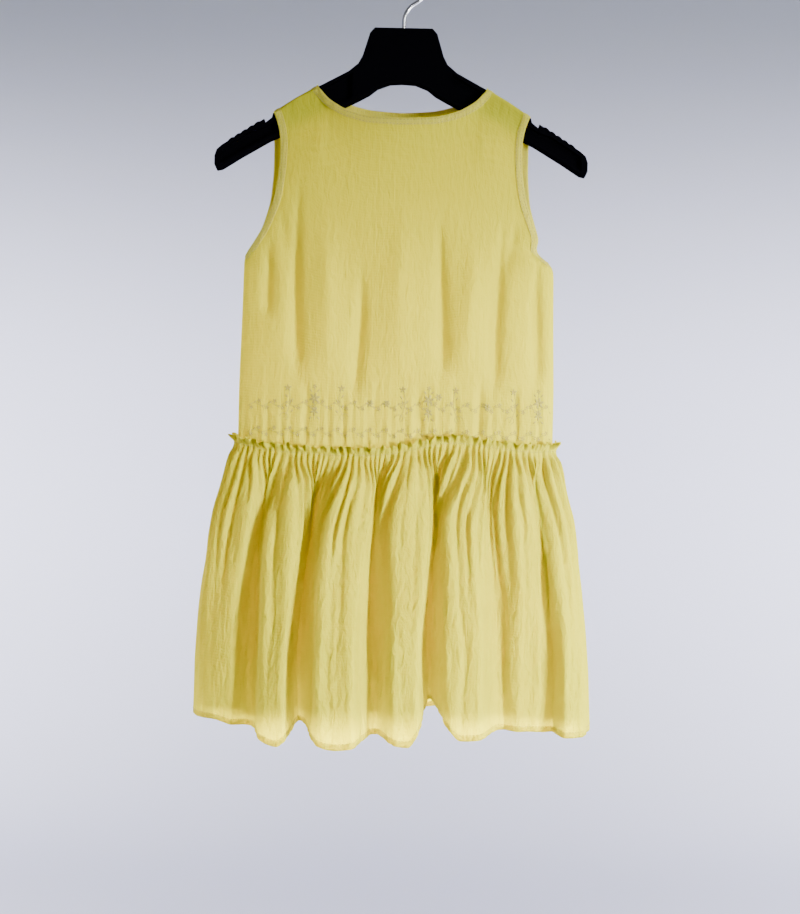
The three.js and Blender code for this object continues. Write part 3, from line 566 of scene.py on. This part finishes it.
def cloth_places(side, cloth, level):
    """The places of even shares of the cloth's length, measured at one level."""
    fine = np.linspace(0, len(SKIRT_FOLDS[side]["top"]) + 1, 6000)
    x, y, _ = skirt_body(side, fine, np.full(fine.size, level))
    lengths = np.concatenate([[0], np.cumsum(np.hypot(np.diff(x), np.diff(y)))])
    return np.interp(cloth * lengths[-1], lengths, fine)


def gathers(cloth, part):
    """How far the fine gathers, the frill and the middle folds stand out, in mm."""
    phase = 2 * np.pi * CLOSE_GATHERS * cloth
    phase = phase + ripple(cloth, (1.5, 2.3, 0.7), (1.1, 6.1, 2.0), (0.6, 13.3, 0.3))
    height = 1 + ripple(cloth, (0.35, 8.6, 0.0), (0.3, 13.7, 1.1), (0.15, 23.9, 0.4))
    length = 0.27 + ripple(cloth, (0.1, 5.3, 0.5), (0.08, 11.9, 2.1), (0.05, 19.3, 1.0))
    stretched = np.where(part > 0.05, 0.05 + (part - 0.05) * 0.22 / length, part)
    wave = read(SKIRT_RINGS, "part", "wave", stretched, 0.008)
    fine = wave * height * (np.sin(phase) + 0.3 * np.sin(2 * phase + 0.9))
    broad_phase = 2 * np.pi * BROAD_FOLDS * cloth + ripple(cloth, (1.7, 2.9, 0.4), (1.0, 5.3, 1.7))
    broad_height = 1 + ripple(cloth, (0.4, 4.7, 0.2), (0.3, 7.9, 2.6))
    broad_end = 0.7 + ripple(cloth, (0.18, 3.7, 0.9), (0.12, 9.1, 0.0))
    broad = 2.4 * broad_height * pleat(broad_phase) * smooth((broad_end - part) / 0.35)
    small_phase = 2 * np.pi * SMALL_FOLDS * cloth + ripple(cloth, (1.6, 4.1, 1.2), (0.9, 9.7, 0.1))
    small = 1.3 * height * pleat(small_phase) * smooth((broad_end - 0.12 - part) / 0.35)
    middle = (broad + small) * smooth(part / 0.07)
    upper = smooth(-part / FRILL)
    frill_phase = 2 * np.pi * FRILL_WAVES * cloth + ripple(cloth, (1.4, 3.1, 0.2), (1.2, 7.7, 1.0))
    frill_height = height + 0.6 * np.sin(61 * cloth)
    frill_waves = 2.4 * np.sin(frill_phase) * frill_height + 1.3 * np.sin(2.1 * frill_phase + 1)
    bent = cloth + 0.005 * np.sin(6 * part + 9 * cloth) + 0.0015 * np.sin(19 * part + 31 * cloth)
    crease_depth = 0.8 + ripple(bent, (0.5, 5.9, 0.6), (0.4, 11.3, 1.9)) + 0.4 * np.sin(9 * part)
    creases = crease_depth * pleat(2 * np.pi * CREASES * bent + ripple(bent, (2.0, 7.1, 0.3)))
    soft_waves = ripple(bent, (0.9, 24.3, 0.5), (0.4, 71, 1.4))
    calm = smooth(part / 0.25) * (1 - 0.6 * smooth((part - 0.7) / 0.25))
    return fine + middle + upper * frill_waves + (creases + soft_waves) * calm


def all_parts():
    """The rows of a whole half, closer together near the seam."""
    frill = np.linspace(-FRILL, 0, FRILL_ROWS)
    spread = np.linspace(0, 1, SKIRT_ROWS)[1:]
    return np.concatenate([frill, 0.45 * spread + 0.55 * spread**1.8])


def skirt_half(side, parts, inward=0.0):
    """Rows of points of one half, outer face moved inwards by a distance in mm."""
    cloth = np.linspace(0, 1, SKIRT_COLUMNS)
    at_waist = cloth_places(side, cloth, 0.0)
    lower = cloth_places(side, cloth, STEADY_LEVEL)
    rows_made = []
    for part in parts:
        place = at_waist + (lower - at_waist) * smooth(part / SETTLED_PART)
        x, y, lift = skirt_body(side, place, np.full(SKIRT_COLUMNS, part))
        line = np.stack([x, y], axis=-1)
        along = np.gradient(line, axis=0)
        normal = unit(np.stack([along[:, 1], -along[:, 0]], axis=-1))
        normal[0] = (-1, 0)
        normal[-1] = (1, 0)
        ends = np.clip(np.minimum(cloth, 1 - cloth) * SEAM_RAMP, 0, 1)
        stand = read(SKIRT_RINGS, "part", "stand", part, 0.006) * ends + SEAM_STAND * (1 - ends)
        out = stand + gathers(cloth, part) * ends - inward
        line = line + normal * out[:, None]
        line[:, 1] = np.minimum(-HALF_SEAM, line[:, 1])
        line[[0, -1], 1] = -HALF_SEAM
        turn = 1 if side == "front" else -1
        seam = WAIST + waist_rise(side, x)
        z = seam + (HEM + lift - seam) * part
        if part < 0:
            z = seam - part * SKIRT_LENGTH
            curl = smooth(-part / FRILL)
            z = z + curl * ripple(cloth, (1.2, 41, 0.5), (0.8, 19.3, 1.9), (0.6, 67, 0.0))
        x = turn * line[:, 0]
        tucked = TUCKED_LEFT * smooth((-x - 70) / 110) * max(part, 0) ** 2
        risen = RISEN_LEFT * smooth((-x - 125) / 55) * max(part, 0) ** 2
        rows_made.append(np.stack([x + tucked, turn * line[:, 1], z + risen], axis=-1))
    return np.array(rows_made)


skirts = {}
for side in ("front", "back"):
    points = skirt_half(side, all_parts())
    skirts[side] = thicken(grid_sheet(f"skirt_{side}_cloth", points), CLOTH)
    dress_in(skirts[side], skirt_yellow, "yellow_cotton", f"skirt_{side}")
    print("skirt", side, "area", round(area_of(skirts[side]), 4), "square metres")

# %% [markdown]
# ## The hem and the lining
# The skirt's edge is turned up by 5 mm and sewn, so its last strip is double and lets less light
# through. A second strip inside it shows that, and another doubles the frill in the same way.
# The lining is a plain tube with soft waves that hangs from the waist and ends above the hem.

# %% Hem and frill strips
STRIP_INSET = 0.75


def doubled(name, side, parts):
    """A second layer of cloth inside one stretch of the skirt."""
    points = skirt_half(side, parts, STRIP_INSET)
    strip = thicken(grid_sheet(f"{name}_{side}", points), THIN_CLOTH)
    return dress_in(strip, skirt_yellow, "yellow_cotton")


hems, frills = {}, {}
for side in ("front", "back"):
    hems[side] = doubled("hem", side, np.linspace(HEM_FOLD, 1, 4))
    frills[side] = doubled("frill", side, np.linspace(-FRILL, -0.3 * FRILL, 5))
    print("hem and frill", side, "area", round(area_of(hems[side]) + area_of(frills[side]), 5))

# %% Lining
LINING_RINGS = table(
    "part width depth", (0, 148, 31.3), (0.07, 147, 26.5), (0.35, 153, 22), (0.65, 158, 20),
    (1, 162, 19),
)
LINING_COLUMNS, LINING_ROWS = 260, 46


def lining_tube():
    """Rows of points round the lining, from the waist to its own hem."""
    turn = np.linspace(0, 2 * np.pi, LINING_COLUMNS)
    rows_made = []
    for part in np.linspace(0, 1, LINING_ROWS):
        waves = smooth(part / 0.25) * ripple(turn / (2 * np.pi), (1.6, 23, 0.3), (1.1, 38, 1.0))
        width = read(LINING_RINGS, "part", "width", part, 0.02)
        depth = read(LINING_RINGS, "part", "depth", part, 0.02) + waves
        x = -width * np.cos(turn)
        y = -np.sign(np.sin(turn)) * depth * np.abs(np.sin(turn)) ** 0.6
        front = waist_rise("front", x)
        back = waist_rise("back", -x)
        top = LOWEST - 1.1 + np.where(np.sin(turn) >= 0, front, back)
        rows_made.append(np.stack([x, y, top + (LINING_HEM - top) * part], axis=-1))
    return np.array(rows_made)


lining = thicken(grid_sheet("lining_cloth", lining_tube(), weld=True), THIN_CLOTH)
dress_in(lining, lining_cloth, "yellow_lining", "skirt_lining")
print("lining area", round(area_of(lining), 4), "square metres")

# %% [markdown]
# ## Bound edges
# Neck and armholes are bound with a narrow folded strip that wraps the cloth's raw edge. A strip
# could be extruded along a curve, but it has to turn with the cloth over the shoulder, so its
# section is carried along frames taken from the panels: from the edge into the cloth, and out
# from its face. Two rows of stitches press it in, so its section dips there.


# %% Frames along the edges
BINDING_WIDTH, STATION_STEP = 6, 1.6
NECK_REACH, CORNER_INSET = 0.655, 0.72
ROUND_THE_TIP = (0.3, 0.9, 1.8, 3)


def edge_frames(stations):
    """Edge points, directions into the cloth and outward directions of (side, edge, inset)."""
    edges, insets, normals = [], [], []
    for side, (across, drop), (inset_across, inset_drop) in stations:
        place = np.array([across, drop, inset_across, inset_drop], float)
        edges.append(bodice_point(side, place[0:1], place[1:2])[0])
        insets.append(bodice_point(side, place[2:3], place[3:4])[0])
        normals.append(bodice_normal(side, place[0:1], place[1:2])[0])
    return np.array(edges), unit(np.array(insets) - np.array(edges)), np.array(normals)


def even_frames(stations, spacing, rounding):
    """The same frames, rounded along the closed line and spread evenly on it."""
    edges, inward, outward = edge_frames(stations)
    for _ in range(rounding):
        edges, inward, outward = (
            0.5 * part + 0.25 * (np.roll(part, 1, 0) + np.roll(part, -1, 0))
            for part in (edges, inward, outward)
        )
    joined = np.concatenate([edges, edges[:1]])
    lengths = np.concatenate([[0], np.cumsum(np.linalg.norm(np.diff(joined, axis=0), axis=1))])
    count = int(lengths[-1] / spacing)
    want = np.linspace(0, lengths[-1], count, endpoint=False)

    def spread(part):
        closed = np.concatenate([part, part[:1]])
        return np.stack([np.interp(want, lengths, closed[:, k]) for k in range(3)], axis=-1)

    edges, inward, outward = spread(edges), spread(inward), spread(outward)
    along = unit(np.roll(edges, -1, 0) - np.roll(edges, 1, 0))
    inward = unit(inward - along * (inward * along).sum(-1, keepdims=True))
    side_on = np.cross(along, inward)
    flip = np.sign((side_on * outward).sum(-1, keepdims=True))
    return edges, inward, side_on * flip


def neck_stations():
    """Stations right round the neck: over each shoulder's corner and along each edge."""
    made = []
    for side in ("front", "back"):
        for hand in (-1, 1):
            corner = [
                (side, (hand * NECK_POINT / SHOULDER_TIP, drop), (hand * CORNER_INSET, drop))
                for drop in ROUND_THE_TIP
            ]
            if hand == -1:
                made += corner
                for share in np.linspace(-NECK_REACH, NECK_REACH, 90):
                    made.append((side, (share, 0), (share, BINDING_WIDTH)))
            else:
                made += corner[::-1]
    return made


def armhole_stations(hand):
    """Stations down the front's armhole, round its foot and up the back's."""
    made = []
    arm = LOWEST + SIDE_LENGTH - UNDERARM
    width = BINDING_WIDTH / SHOULDER_TIP
    drops = (*ROUND_THE_TIP, 5, 8, 12, *np.linspace(16, arm - 3, 50))
    for side in ("front", "back"):
        toward = hand if side == "front" else -hand
        down = [(side, (toward, drop), (toward * (1 - width), drop)) for drop in drops]
        for share in (0.3, 0.65, 1):
            below = BINDING_WIDTH * math.sin(share * math.pi / 2)
            down.append((side, (toward, arm), (toward * (1 - width * (1 - share)), arm + below)))
        made += down if side == "front" else down[::-1]
    return made


# %% Folded strips
BINDING = [
    (6.2, 0.12), (6.25, 0.7), (5.7, 0.95), (5.0, 0.82), (4.2, 1.08), (3.0, 1.18), (1.9, 1.08),
    (1.2, 0.86), (0.5, 1.0), (-0.2, 0.85), (-0.7, 0.35), (-0.8, -0.3), (-0.6, -0.95),
    (0.1, -1.45), (1.2, -1.55), (3, -1.7), (5.2, -1.6), (5.9, -1.3), (5.9, -0.72),
    (0.5, -0.72), (0.3, -0.3), (0.5, 0.12),
]
stations_of = {
    "neck": neck_stations(),
    "armhole_left": armhole_stations(-1),
    "armhole_right": armhole_stations(1),
}
nodes_of = {
    "neck": "neck_binding",
    "armhole_left": "armhole_binding_left",
    "armhole_right": "armhole_binding_right",
}
edges_of, bindings = {}, {}
for name, stations in stations_of.items():
    edges_of[name] = even_frames(stations, STATION_STEP, 3 if name == "neck" else 2)
    strip = loft(f"{name}_strip", *edges_of[name], BINDING, closed=True)
    bindings[name] = dress_in(strip, binding_cloth, "yellow_binding", nodes_of[name])
    print(name, "binding, stations", len(edges_of[name][0]))

# %% [markdown]
# ## Stitches
# A topstitch is a short stroke of thread that dives into the cloth at both ends, so each one is a
# small rounded stroke, flattened on the cloth. Rows of them run along both sides of each binding,
# above the hem and over the gathers. The raw edge of the back's bindings is overcast as well: a
# thread zigzags over it and makes the small teeth that show beyond the front.


# %% Stitch makers
STITCH_WIDTH, STITCH_HEIGHT = 0.5, 0.4


def stroke_matrix(place, along, outward, length, width, height):
    """Places a unit ball as a stroke: its half axes and its centre, in metres."""
    across = np.cross(outward, along)
    columns = (along * length / 2, across * width / 2, outward * height / 2, place)
    matrix = Matrix.Identity(4)
    for i, column in enumerate(columns):
        for k in range(3):
            matrix[k][i] = column[k] * MM
    return matrix


def strokes(name, rows, material, slot):
    """One mesh of many strokes, each a place, a direction, outward, length, width, height."""
    ball_mesh = bpy.data.meshes.new("ball")
    ball = bmesh.new()
    bmesh.ops.create_uvsphere(ball, u_segments=6, v_segments=4, radius=1)
    ball.to_mesh(ball_mesh)
    ball.free()
    unit_ball = np.empty(3 * len(ball_mesh.vertices))
    ball_mesh.vertices.foreach_get("co", unit_ball)
    bm = bmesh.new()
    for row in rows:
        ball_mesh.vertices.foreach_set("co", unit_ball)
        ball_mesh.transform(stroke_matrix(*row))
        bm.from_mesh(ball_mesh)
    bpy.data.meshes.remove(ball_mesh)
    for face in bm.faces:
        face.smooth = True
    return dress_in(finished(name, bm), material, slot)


def stitch_row(points, outward, length, gap):
    """Stitches at an even spacing along a line of points."""
    lengths = np.concatenate([[0], np.cumsum(np.linalg.norm(np.diff(points, axis=0), axis=1))])
    middles = np.arange(length, lengths[-1] - length, length + gap)

    def at(values, where):
        return np.stack([np.interp(where, lengths, values[:, k]) for k in range(3)], axis=-1)

    along = unit(at(points, middles + length / 2) - at(points, middles - length / 2))
    out = at(outward, middles)
    out = unit(out - along * (out * along).sum(-1, keepdims=True))
    size = (length, STITCH_WIDTH, STITCH_HEIGHT)
    return [(*place, *size) for place in zip(at(points, middles), along, out)]


def closed_line(values):
    """The same line with its first point once more at its end."""
    return np.concatenate([values, values[:1]])


# %% Rows of stitches
TOPSTITCH, TOPSTITCH_GAP, ON_STRIP = 2.3, 0.9, 0.9
ON_CLOTH = 0.1

for name, (edges, inward, outward) in edges_of.items():
    rows = []
    for across_strip in (1.2, 5.0):
        line = closed_line(edges + inward * across_strip + outward * ON_STRIP)
        rows += stitch_row(line, closed_line(outward), TOPSTITCH, TOPSTITCH_GAP)
    strokes(f"{name}_topstitch", rows, band_thread, "yellow_binding")

seam_rows = {"hem_stitches": (HEM_FOLD, 2.4, 0.8), "waist_stitches": (0.0, 1.9, 0.6)}
for name, (part, length, gap) in seam_rows.items():
    rows = []
    for side in ("front", "back"):
        line = skirt_half(side, [part], -ON_CLOTH)[0]
        out = unit(np.cross(np.gradient(line, axis=0), (0, 0, 1)))
        rows += stitch_row(line, out, length, gap)
    strokes(name, rows, band_thread, "yellow_cotton")
    print(name, len(rows))

# %% Overcast edges of the back
OVERCAST_STEP, OVERCAST_RADIUS, BEHIND_SEAM = 1.0, 0.24, 1.5
PAST_EDGE, OVER_EDGE_DEPTH, INTO_CLOTH, UNDER_DEPTH = 1.25, 0.4, 3.0, 1.95

for name, stations in stations_of.items():
    edges, inward, outward = even_frames(stations, OVERCAST_STEP, 3)
    behind = np.nonzero(edges[:, 1] > BEHIND_SEAM)[0]
    odd = (np.arange(len(edges)) % 2)[:, None]
    over_edge = edges - inward * PAST_EDGE - outward * OVER_EDGE_DEPTH
    under = edges + inward * INTO_CLOTH - outward * UNDER_DEPTH
    line = np.where(odd == 1, over_edge, under)[behind]
    zigzag = tube(f"{name}_overcast", line, OVERCAST_RADIUS, sides=5)
    dress_in(zigzag, thread, "yellow_binding")
    print(name, "overcast points", len(line))

# %% [markdown]
# ## Embroidery
# Two bands of small flowers run round the front above the gathers, and taller sprays in threes
# cross the upper band. The thread is nearly the cloth's own colour, so it shows by its relief.
# Satin petals, leaves and chain stitches are strokes laid on the panel. The flowers are plain
# five-petalled ones of this lesson's own drawing.


# %% Placing on the front panel
CHAIN_STITCH, CHAIN_WIDTH, THREAD_RELIEF = 1.7, 0.75, 0.6


def on_panel(side, x, z):
    """The across and drop of a point of the panel with that x and z."""
    across = x / HALF_WIDTH
    for _ in range(4):
        top = bodice_top(side, np.abs(across) * SHOULDER_TIP)
        floor = LOWEST + waist_rise(side, x)
        up = (z - floor) / (top - floor)
        across = x / read(BODICE_SIDE, "z", side, LOWEST + up * SIDE_LENGTH, 5)
    return across, SIDE_LENGTH * (1 - up)


def petals(x, z, size, count, turn=0.0):
    """Satin petals round a centre, each x, z, angle, length and width."""
    made = []
    for k in range(count):
        angle = turn + 2 * math.pi * k / count
        reach = size * 0.55
        made.append((x + reach * math.cos(angle), z + reach * math.sin(angle), angle, size, size * 0.5))
    return made


def chain(points):
    """Chain stitches along a line of x and z."""
    points = np.array(points, float)
    lengths = np.concatenate([[0], np.cumsum(np.hypot(*np.diff(points, axis=0).T))])
    made = []
    for at in np.arange(CHAIN_STITCH / 2, lengths[-1], CHAIN_STITCH * 0.85):
        ends = np.array([np.interp([at - 0.5, at + 0.5], lengths, points[:, k]) for k in (0, 1)])
        angle = math.atan2(ends[1, 1] - ends[1, 0], ends[0, 1] - ends[0, 0])
        made.append((ends[0].mean(), ends[1].mean(), angle, CHAIN_STITCH, CHAIN_WIDTH))
    return made


def spray(x, z, hand):
    """A leaning spray: a bent stem with leaves, a flower at its head and a curl at its foot."""
    stem = [(x + hand * (5.5 * math.sin(2.6 * t) - 1), z - 13 + 29 * t) for t in np.linspace(0, 1, 14)]
    curl = [(x - hand * (1 + 4 * math.cos(a)), z - 11 + 3.2 * math.sin(a)) for a in np.linspace(0, 4.4, 12)]
    made = chain(stem) + chain(curl)
    made += petals(x + hand * 2.2, z + 15.5, 3.4, 5, 0.3)
    for rise, side in ((-6, 1), (-1, -1), (4, 1), (8, -1)):
        made.append((x + hand * (3.6 + 2.6 * side), z + rise, side * hand * 0.9, 4.2, 1.5))
    return made


def star(x, z):
    """An upright spray: a straight stem through a large flower, with paired leaves."""
    made = chain([(x, z - 14), (x, z + 17)])
    made += petals(x, z + 6, 5.2, 6, 0.26) + petals(x, z - 6, 4.2, 5, 0.9) + petals(x, z + 17, 2.4, 5)
    for hand in (-1, 1):
        made.append((x + hand * 3.4, z + 13, hand * 0.8 if hand > 0 else math.pi - 0.8, 4, 1.4))
        made.append((x + hand * 3.6, z - 12, -hand * 0.7 if hand > 0 else math.pi + 0.7, 4, 1.4))
    return made


# %% Sew the bands and sprays
UPPER_BAND, LOWER_BAND = -417.6, -442.3
SPRAYS = table("x hand", (-102, 1), (-75, 0), (-48, -1), (4, 1), (30, 0), (57, -1), (106, 1), (132, 0))
FLOWERS = table("x lift", (-24, 2), (-8.5, 2), (39, 9), (84, 1))

drawn = []
for band, swing in ((UPPER_BAND, 1.5), (LOWER_BAND, 1.2)):
    xs = np.linspace(-138, 140, 260)
    drawn += chain(np.stack([xs, band + swing * np.sin(xs * 0.42)], axis=-1))
    for k, x in enumerate(np.arange(-134, 140, 7.4)):
        lift = 3.0 if k % 2 else -3.0
        drawn += petals(x, band + lift, 2.3, 5, k * 0.7)
        drawn.append((x + 3.6, band - lift * 0.8, 0.6 - 1.2 * (k % 2), 3.0, 1.1))
for x, hand in zip(SPRAYS["x"], SPRAYS["hand"]):
    drawn += spray(x, UPPER_BAND, hand) if hand else star(x, UPPER_BAND)
for x, lift in zip(FLOWERS["x"], FLOWERS["lift"]):
    drawn += petals(x, UPPER_BAND + lift, 3.6, 6)

xs, zs = np.array(drawn)[:, 0], np.array(drawn)[:, 1]
across, drop = on_panel("front", xs, zs)
faces_at = bodice_point("front", across, drop)
face_out = bodice_normal("front", across, drop)
rows = []
for place, out, (_, _, angle, length, width) in zip(faces_at, face_out, drawn):
    level = unit(np.cross((0, 0, 1), out))
    upward = np.cross(out, level)
    along = level * math.cos(angle) + upward * math.sin(angle)
    rows.append((place + out * ON_CLOTH, along, out, length, width, THREAD_RELIEF))
embroidery = strokes("front_embroidery", rows, thread, "yellow_cotton")
print("embroidery strokes", len(rows))

# %% [markdown]
# ## Hanger and hook
# The moulded hanger is the solid itself in black plastic. The hook is bent wire: a stem, a bend
# aside and most of a circle, with the rail's bearing point inside its crown.

# %% Hanger finish and wire hook
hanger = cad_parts["hanger"]
hanger.data.materials.clear()
hanger.data.materials.append(black_plastic)
print("hanger faces", len(hanger.data.polygons))

WIRE, CROWN, CROWN_CENTRE, STEM_FOOT = 1.8, 20.8, -19, -77
LEAN, TIP = 60, 205


def hook_line():
    """The wire's line: up the stem, aside through the bend and round the crown to its tip."""
    lean = math.radians(LEAN)
    join = (CROWN * math.cos(lean), CROWN_CENTRE - CROWN * math.sin(lean))
    radius = join[0] / (1 - math.cos(lean))
    start = join[1] - radius * math.sin(lean)
    points = [(0, 0, z) for z in np.linspace(STEM_FOOT, start, 8)]
    for angle in np.linspace(0, lean, 12)[1:]:
        points.append((radius * (1 - math.cos(angle)), 0, start + radius * math.sin(angle)))
    for angle in np.radians(np.linspace(-LEAN, TIP, 60))[1:]:
        points.append((CROWN * math.cos(angle), 0, CROWN_CENTRE + CROWN * math.sin(angle)))
    return np.array(points)


hook = tube("wire_hook", hook_line(), WIRE, sides=20)
dress_in(hook, steel, "hook_steel", "hanger_hook")
print("hook points", len(hook_line()))

# %% [markdown]
# ## Labels
# A woven label is sewn inside the back of the neck with a small size tab under it. Both are plain
# patches here, made from the back panel's own points so that they lie close to it.


# %% Neck label and tab
PATCH_COLUMNS, PATCH_ROWS = 12, 5


def back_patch(name, centre, width, top, height, depth):
    """A patch made from the back panel's points, moved in by a depth in mm."""
    xs = np.linspace(centre + width / 2, centre - width / 2, PATCH_COLUMNS)
    zs = np.linspace(top, top - height, PATCH_ROWS)
    grid_x, grid_z = np.meshgrid(-xs, zs)
    across = grid_x / SHOULDER_TIP
    top_here = bodice_top("back", np.abs(grid_x))
    floor = LOWEST + waist_rise("back", grid_x)
    drop = SIDE_LENGTH * (1 - (grid_z - floor) / (top_here - floor))
    points = bodice_point("back", across, drop) - bodice_normal("back", across, drop) * depth
    points[..., 2] = grid_z
    return thicken(grid_sheet(name, points), LABEL_CLOTH)


label = back_patch("neck_label_cloth", centre=1, width=55, top=-153, height=11.3, depth=1.2)
dress_in(label, label_cloth, "label_cloth", "neck_label")
tab = back_patch("size_tab_cloth", centre=1.5, width=15, top=-164.6, height=12, depth=1.3)
dress_in(tab, label_cloth, "label_cloth", "size_tab")

# %% [markdown]
# ## Cut of the cloth
# A hem or a frill edge is cut as a strip and folded double, so it shows half its area.

# %% [markdown]
# ## Studio
# A pale floor sweeps up into a backdrop well behind the dress, with painted shade that darkens the
# paper towards its top. Soft lights stand in front, strongest on the right, and one on each side
# lights the paper. Two narrow ones behind the dress shine through its cloth, which makes the deep
# folds glow. Studio sizes are in metres.


# %% Paper sweep
# The second colour and the two heights give painted shade: the paper darkens towards its top.
PAPER, PAPER_PAINTED_SHADE, PAPER_ROUGHNESS = (0.755, 0.765, 0.96), (0.24, 0.255, 0.31), 0.95
PAINTED_SHADE_FROM, PAINTED_SHADE_FULL_AT = -0.35, 0.75
FLOOR_LEVEL, NEAR_EDGE = -1.3, -1.8
FLOOR_RUN, BEND_RUN, PAPER_RUN, PAPER_WIDTH = 3.2, 1.0, 6.2, 9


def paper_material():
    """Pale lavender grey paper with painted shade that darkens it towards its top."""
    material = plain("pale_paper_painted_shade", PAPER, PAPER_ROUGHNESS)
    tree = material.node_tree
    place = node(tree, "ShaderNodeTexCoord")
    parts = node(tree, "ShaderNodeSeparateXYZ")
    tree.links.new(place.outputs["Object"], parts.inputs[0])
    # Painted shade: the colour darkens with height, standing in for light falling off up the backdrop.
    height = node(tree, "ShaderNodeMapRange", interpolation_type="SMOOTHSTEP")
    height.inputs["From Min"].default_value = PAINTED_SHADE_FROM
    height.inputs["From Max"].default_value = PAINTED_SHADE_FULL_AT
    tree.links.new(parts.outputs["Z"], height.inputs["Value"])
    shade = node(tree, "ShaderNodeMix", data_type="RGBA")
    shade.inputs[6].default_value = (*PAPER, 1)
    shade.inputs[7].default_value = (*PAPER_PAINTED_SHADE, 1)
    tree.links.new(height.outputs["Result"], shade.inputs[0])
    shader = tree.nodes["Principled BSDF"]
    tree.links.new(shade.outputs[2], shader.inputs["Base Color"])
    return material


def sweep_sheet():
    """A sheet of paper along the floor, up through a quarter bend and on up the wall."""
    bm = bmesh.new()
    bmesh.ops.create_grid(bm, x_segments=2, y_segments=40, size=0.5)
    radius = 2 * BEND_RUN / math.pi
    for vertex in bm.verts:
        along = (vertex.co.y + 0.5) * PAPER_RUN
        turn = math.pi / 2 * min(1, max(0, (along - FLOOR_RUN) / BEND_RUN))
        y = NEAR_EDGE + min(along, FLOOR_RUN) + radius * math.sin(turn)
        up_wall = max(0, along - FLOOR_RUN - BEND_RUN)
        z = FLOOR_LEVEL + radius * (1 - math.cos(turn)) + up_wall
        vertex.co = (vertex.co.x * PAPER_WIDTH, y, z)
    for face in bm.faces:
        face.smooth = True
    mesh = bpy.data.meshes.new("sweep")
    bm.to_mesh(mesh)
    bm.free()
    sweep = bpy.data.objects.new("sweep", mesh)
    bpy.context.scene.collection.objects.link(sweep)
    sweep.data.materials.append(paper_material())


sweep_sheet()


# %% Lights
def area_light(name, place, aim, size, power, spread):
    """A square light, with its spread in degrees, that the camera doesn't see."""
    lamp = bpy.data.lights.new(name, "AREA")
    lamp.size = size
    lamp.energy = power
    lamp.spread = math.radians(spread)
    light = bpy.data.objects.new(name, lamp)
    light.location = place
    direction = Vector(aim) - Vector(place)
    light.rotation_euler = direction.to_track_quat("-Z", "Y").to_euler()
    light.visible_camera = False
    bpy.context.scene.collection.objects.link(light)


# Each light: name, place, aim, size, power and spread
LIGHTS = (
    ("right_soft", (1.9, -1.7, 0.5), (0, 0, -0.5), 0.6, 28, 180),
    ("right_low", (1.6, -1.5, -0.6), (0.08, 0, -0.62), 0.4, 8, 36),
    ("left_soft", (-1.6, -2.4, 0.6), (0, 0, -0.5), 1.4, 5, 180),
    ("behind", (0.02, 1.8, -0.15), (0, 0, -0.3), 0.14, 5, 60),
    ("behind_low", (-0.1, 1.8, -0.85), (0, 0, -0.7), 0.3, 24, 23),
    ("paper_right", (1.9, 0.3, -0.8), (0.7, 2.0, -0.65), 1.0, 97, 180),
    ("paper_left", (-1.9, 0.3, -0.8), (-0.7, 2.0, -0.65), 1.0, 74, 180),
)
for name, place, aim, size, power, spread in LIGHTS:
    area_light(name, place, aim, size, power, spread)

SKY, SKY_STRENGTH = (0.86, 0.88, 0.98, 1), 0.165
world = bpy.data.worlds.new("studio")
bpy.context.scene.world = world
world.use_nodes = True
world.node_tree.nodes["Background"].inputs["Color"].default_value = SKY
world.node_tree.nodes["Background"].inputs["Strength"].default_value = SKY_STRENGTH
print("lights", len(LIGHTS))

# %% [markdown]
# ## Camera
# The photo was taken from straight ahead, at the height of the waist. The camera is rolled by
# a little, as the dress hangs a little off plumb there.

# %% Camera
LENS, SENSOR = 57.4, 36
CAMERA_PLACE, CAMERA_ROLL = (0.0048, -1.2, -0.464), -1.2

lens = bpy.data.cameras.new("camera")
lens.lens = LENS
lens.sensor_width = SENSOR
lens.sensor_fit = "HORIZONTAL"
camera = bpy.data.objects.new("camera", lens)
camera.location = CAMERA_PLACE
camera.rotation_euler = (math.radians(90), math.radians(CAMERA_ROLL), 0)
bpy.context.scene.collection.objects.link(camera)
bpy.context.scene.camera = camera
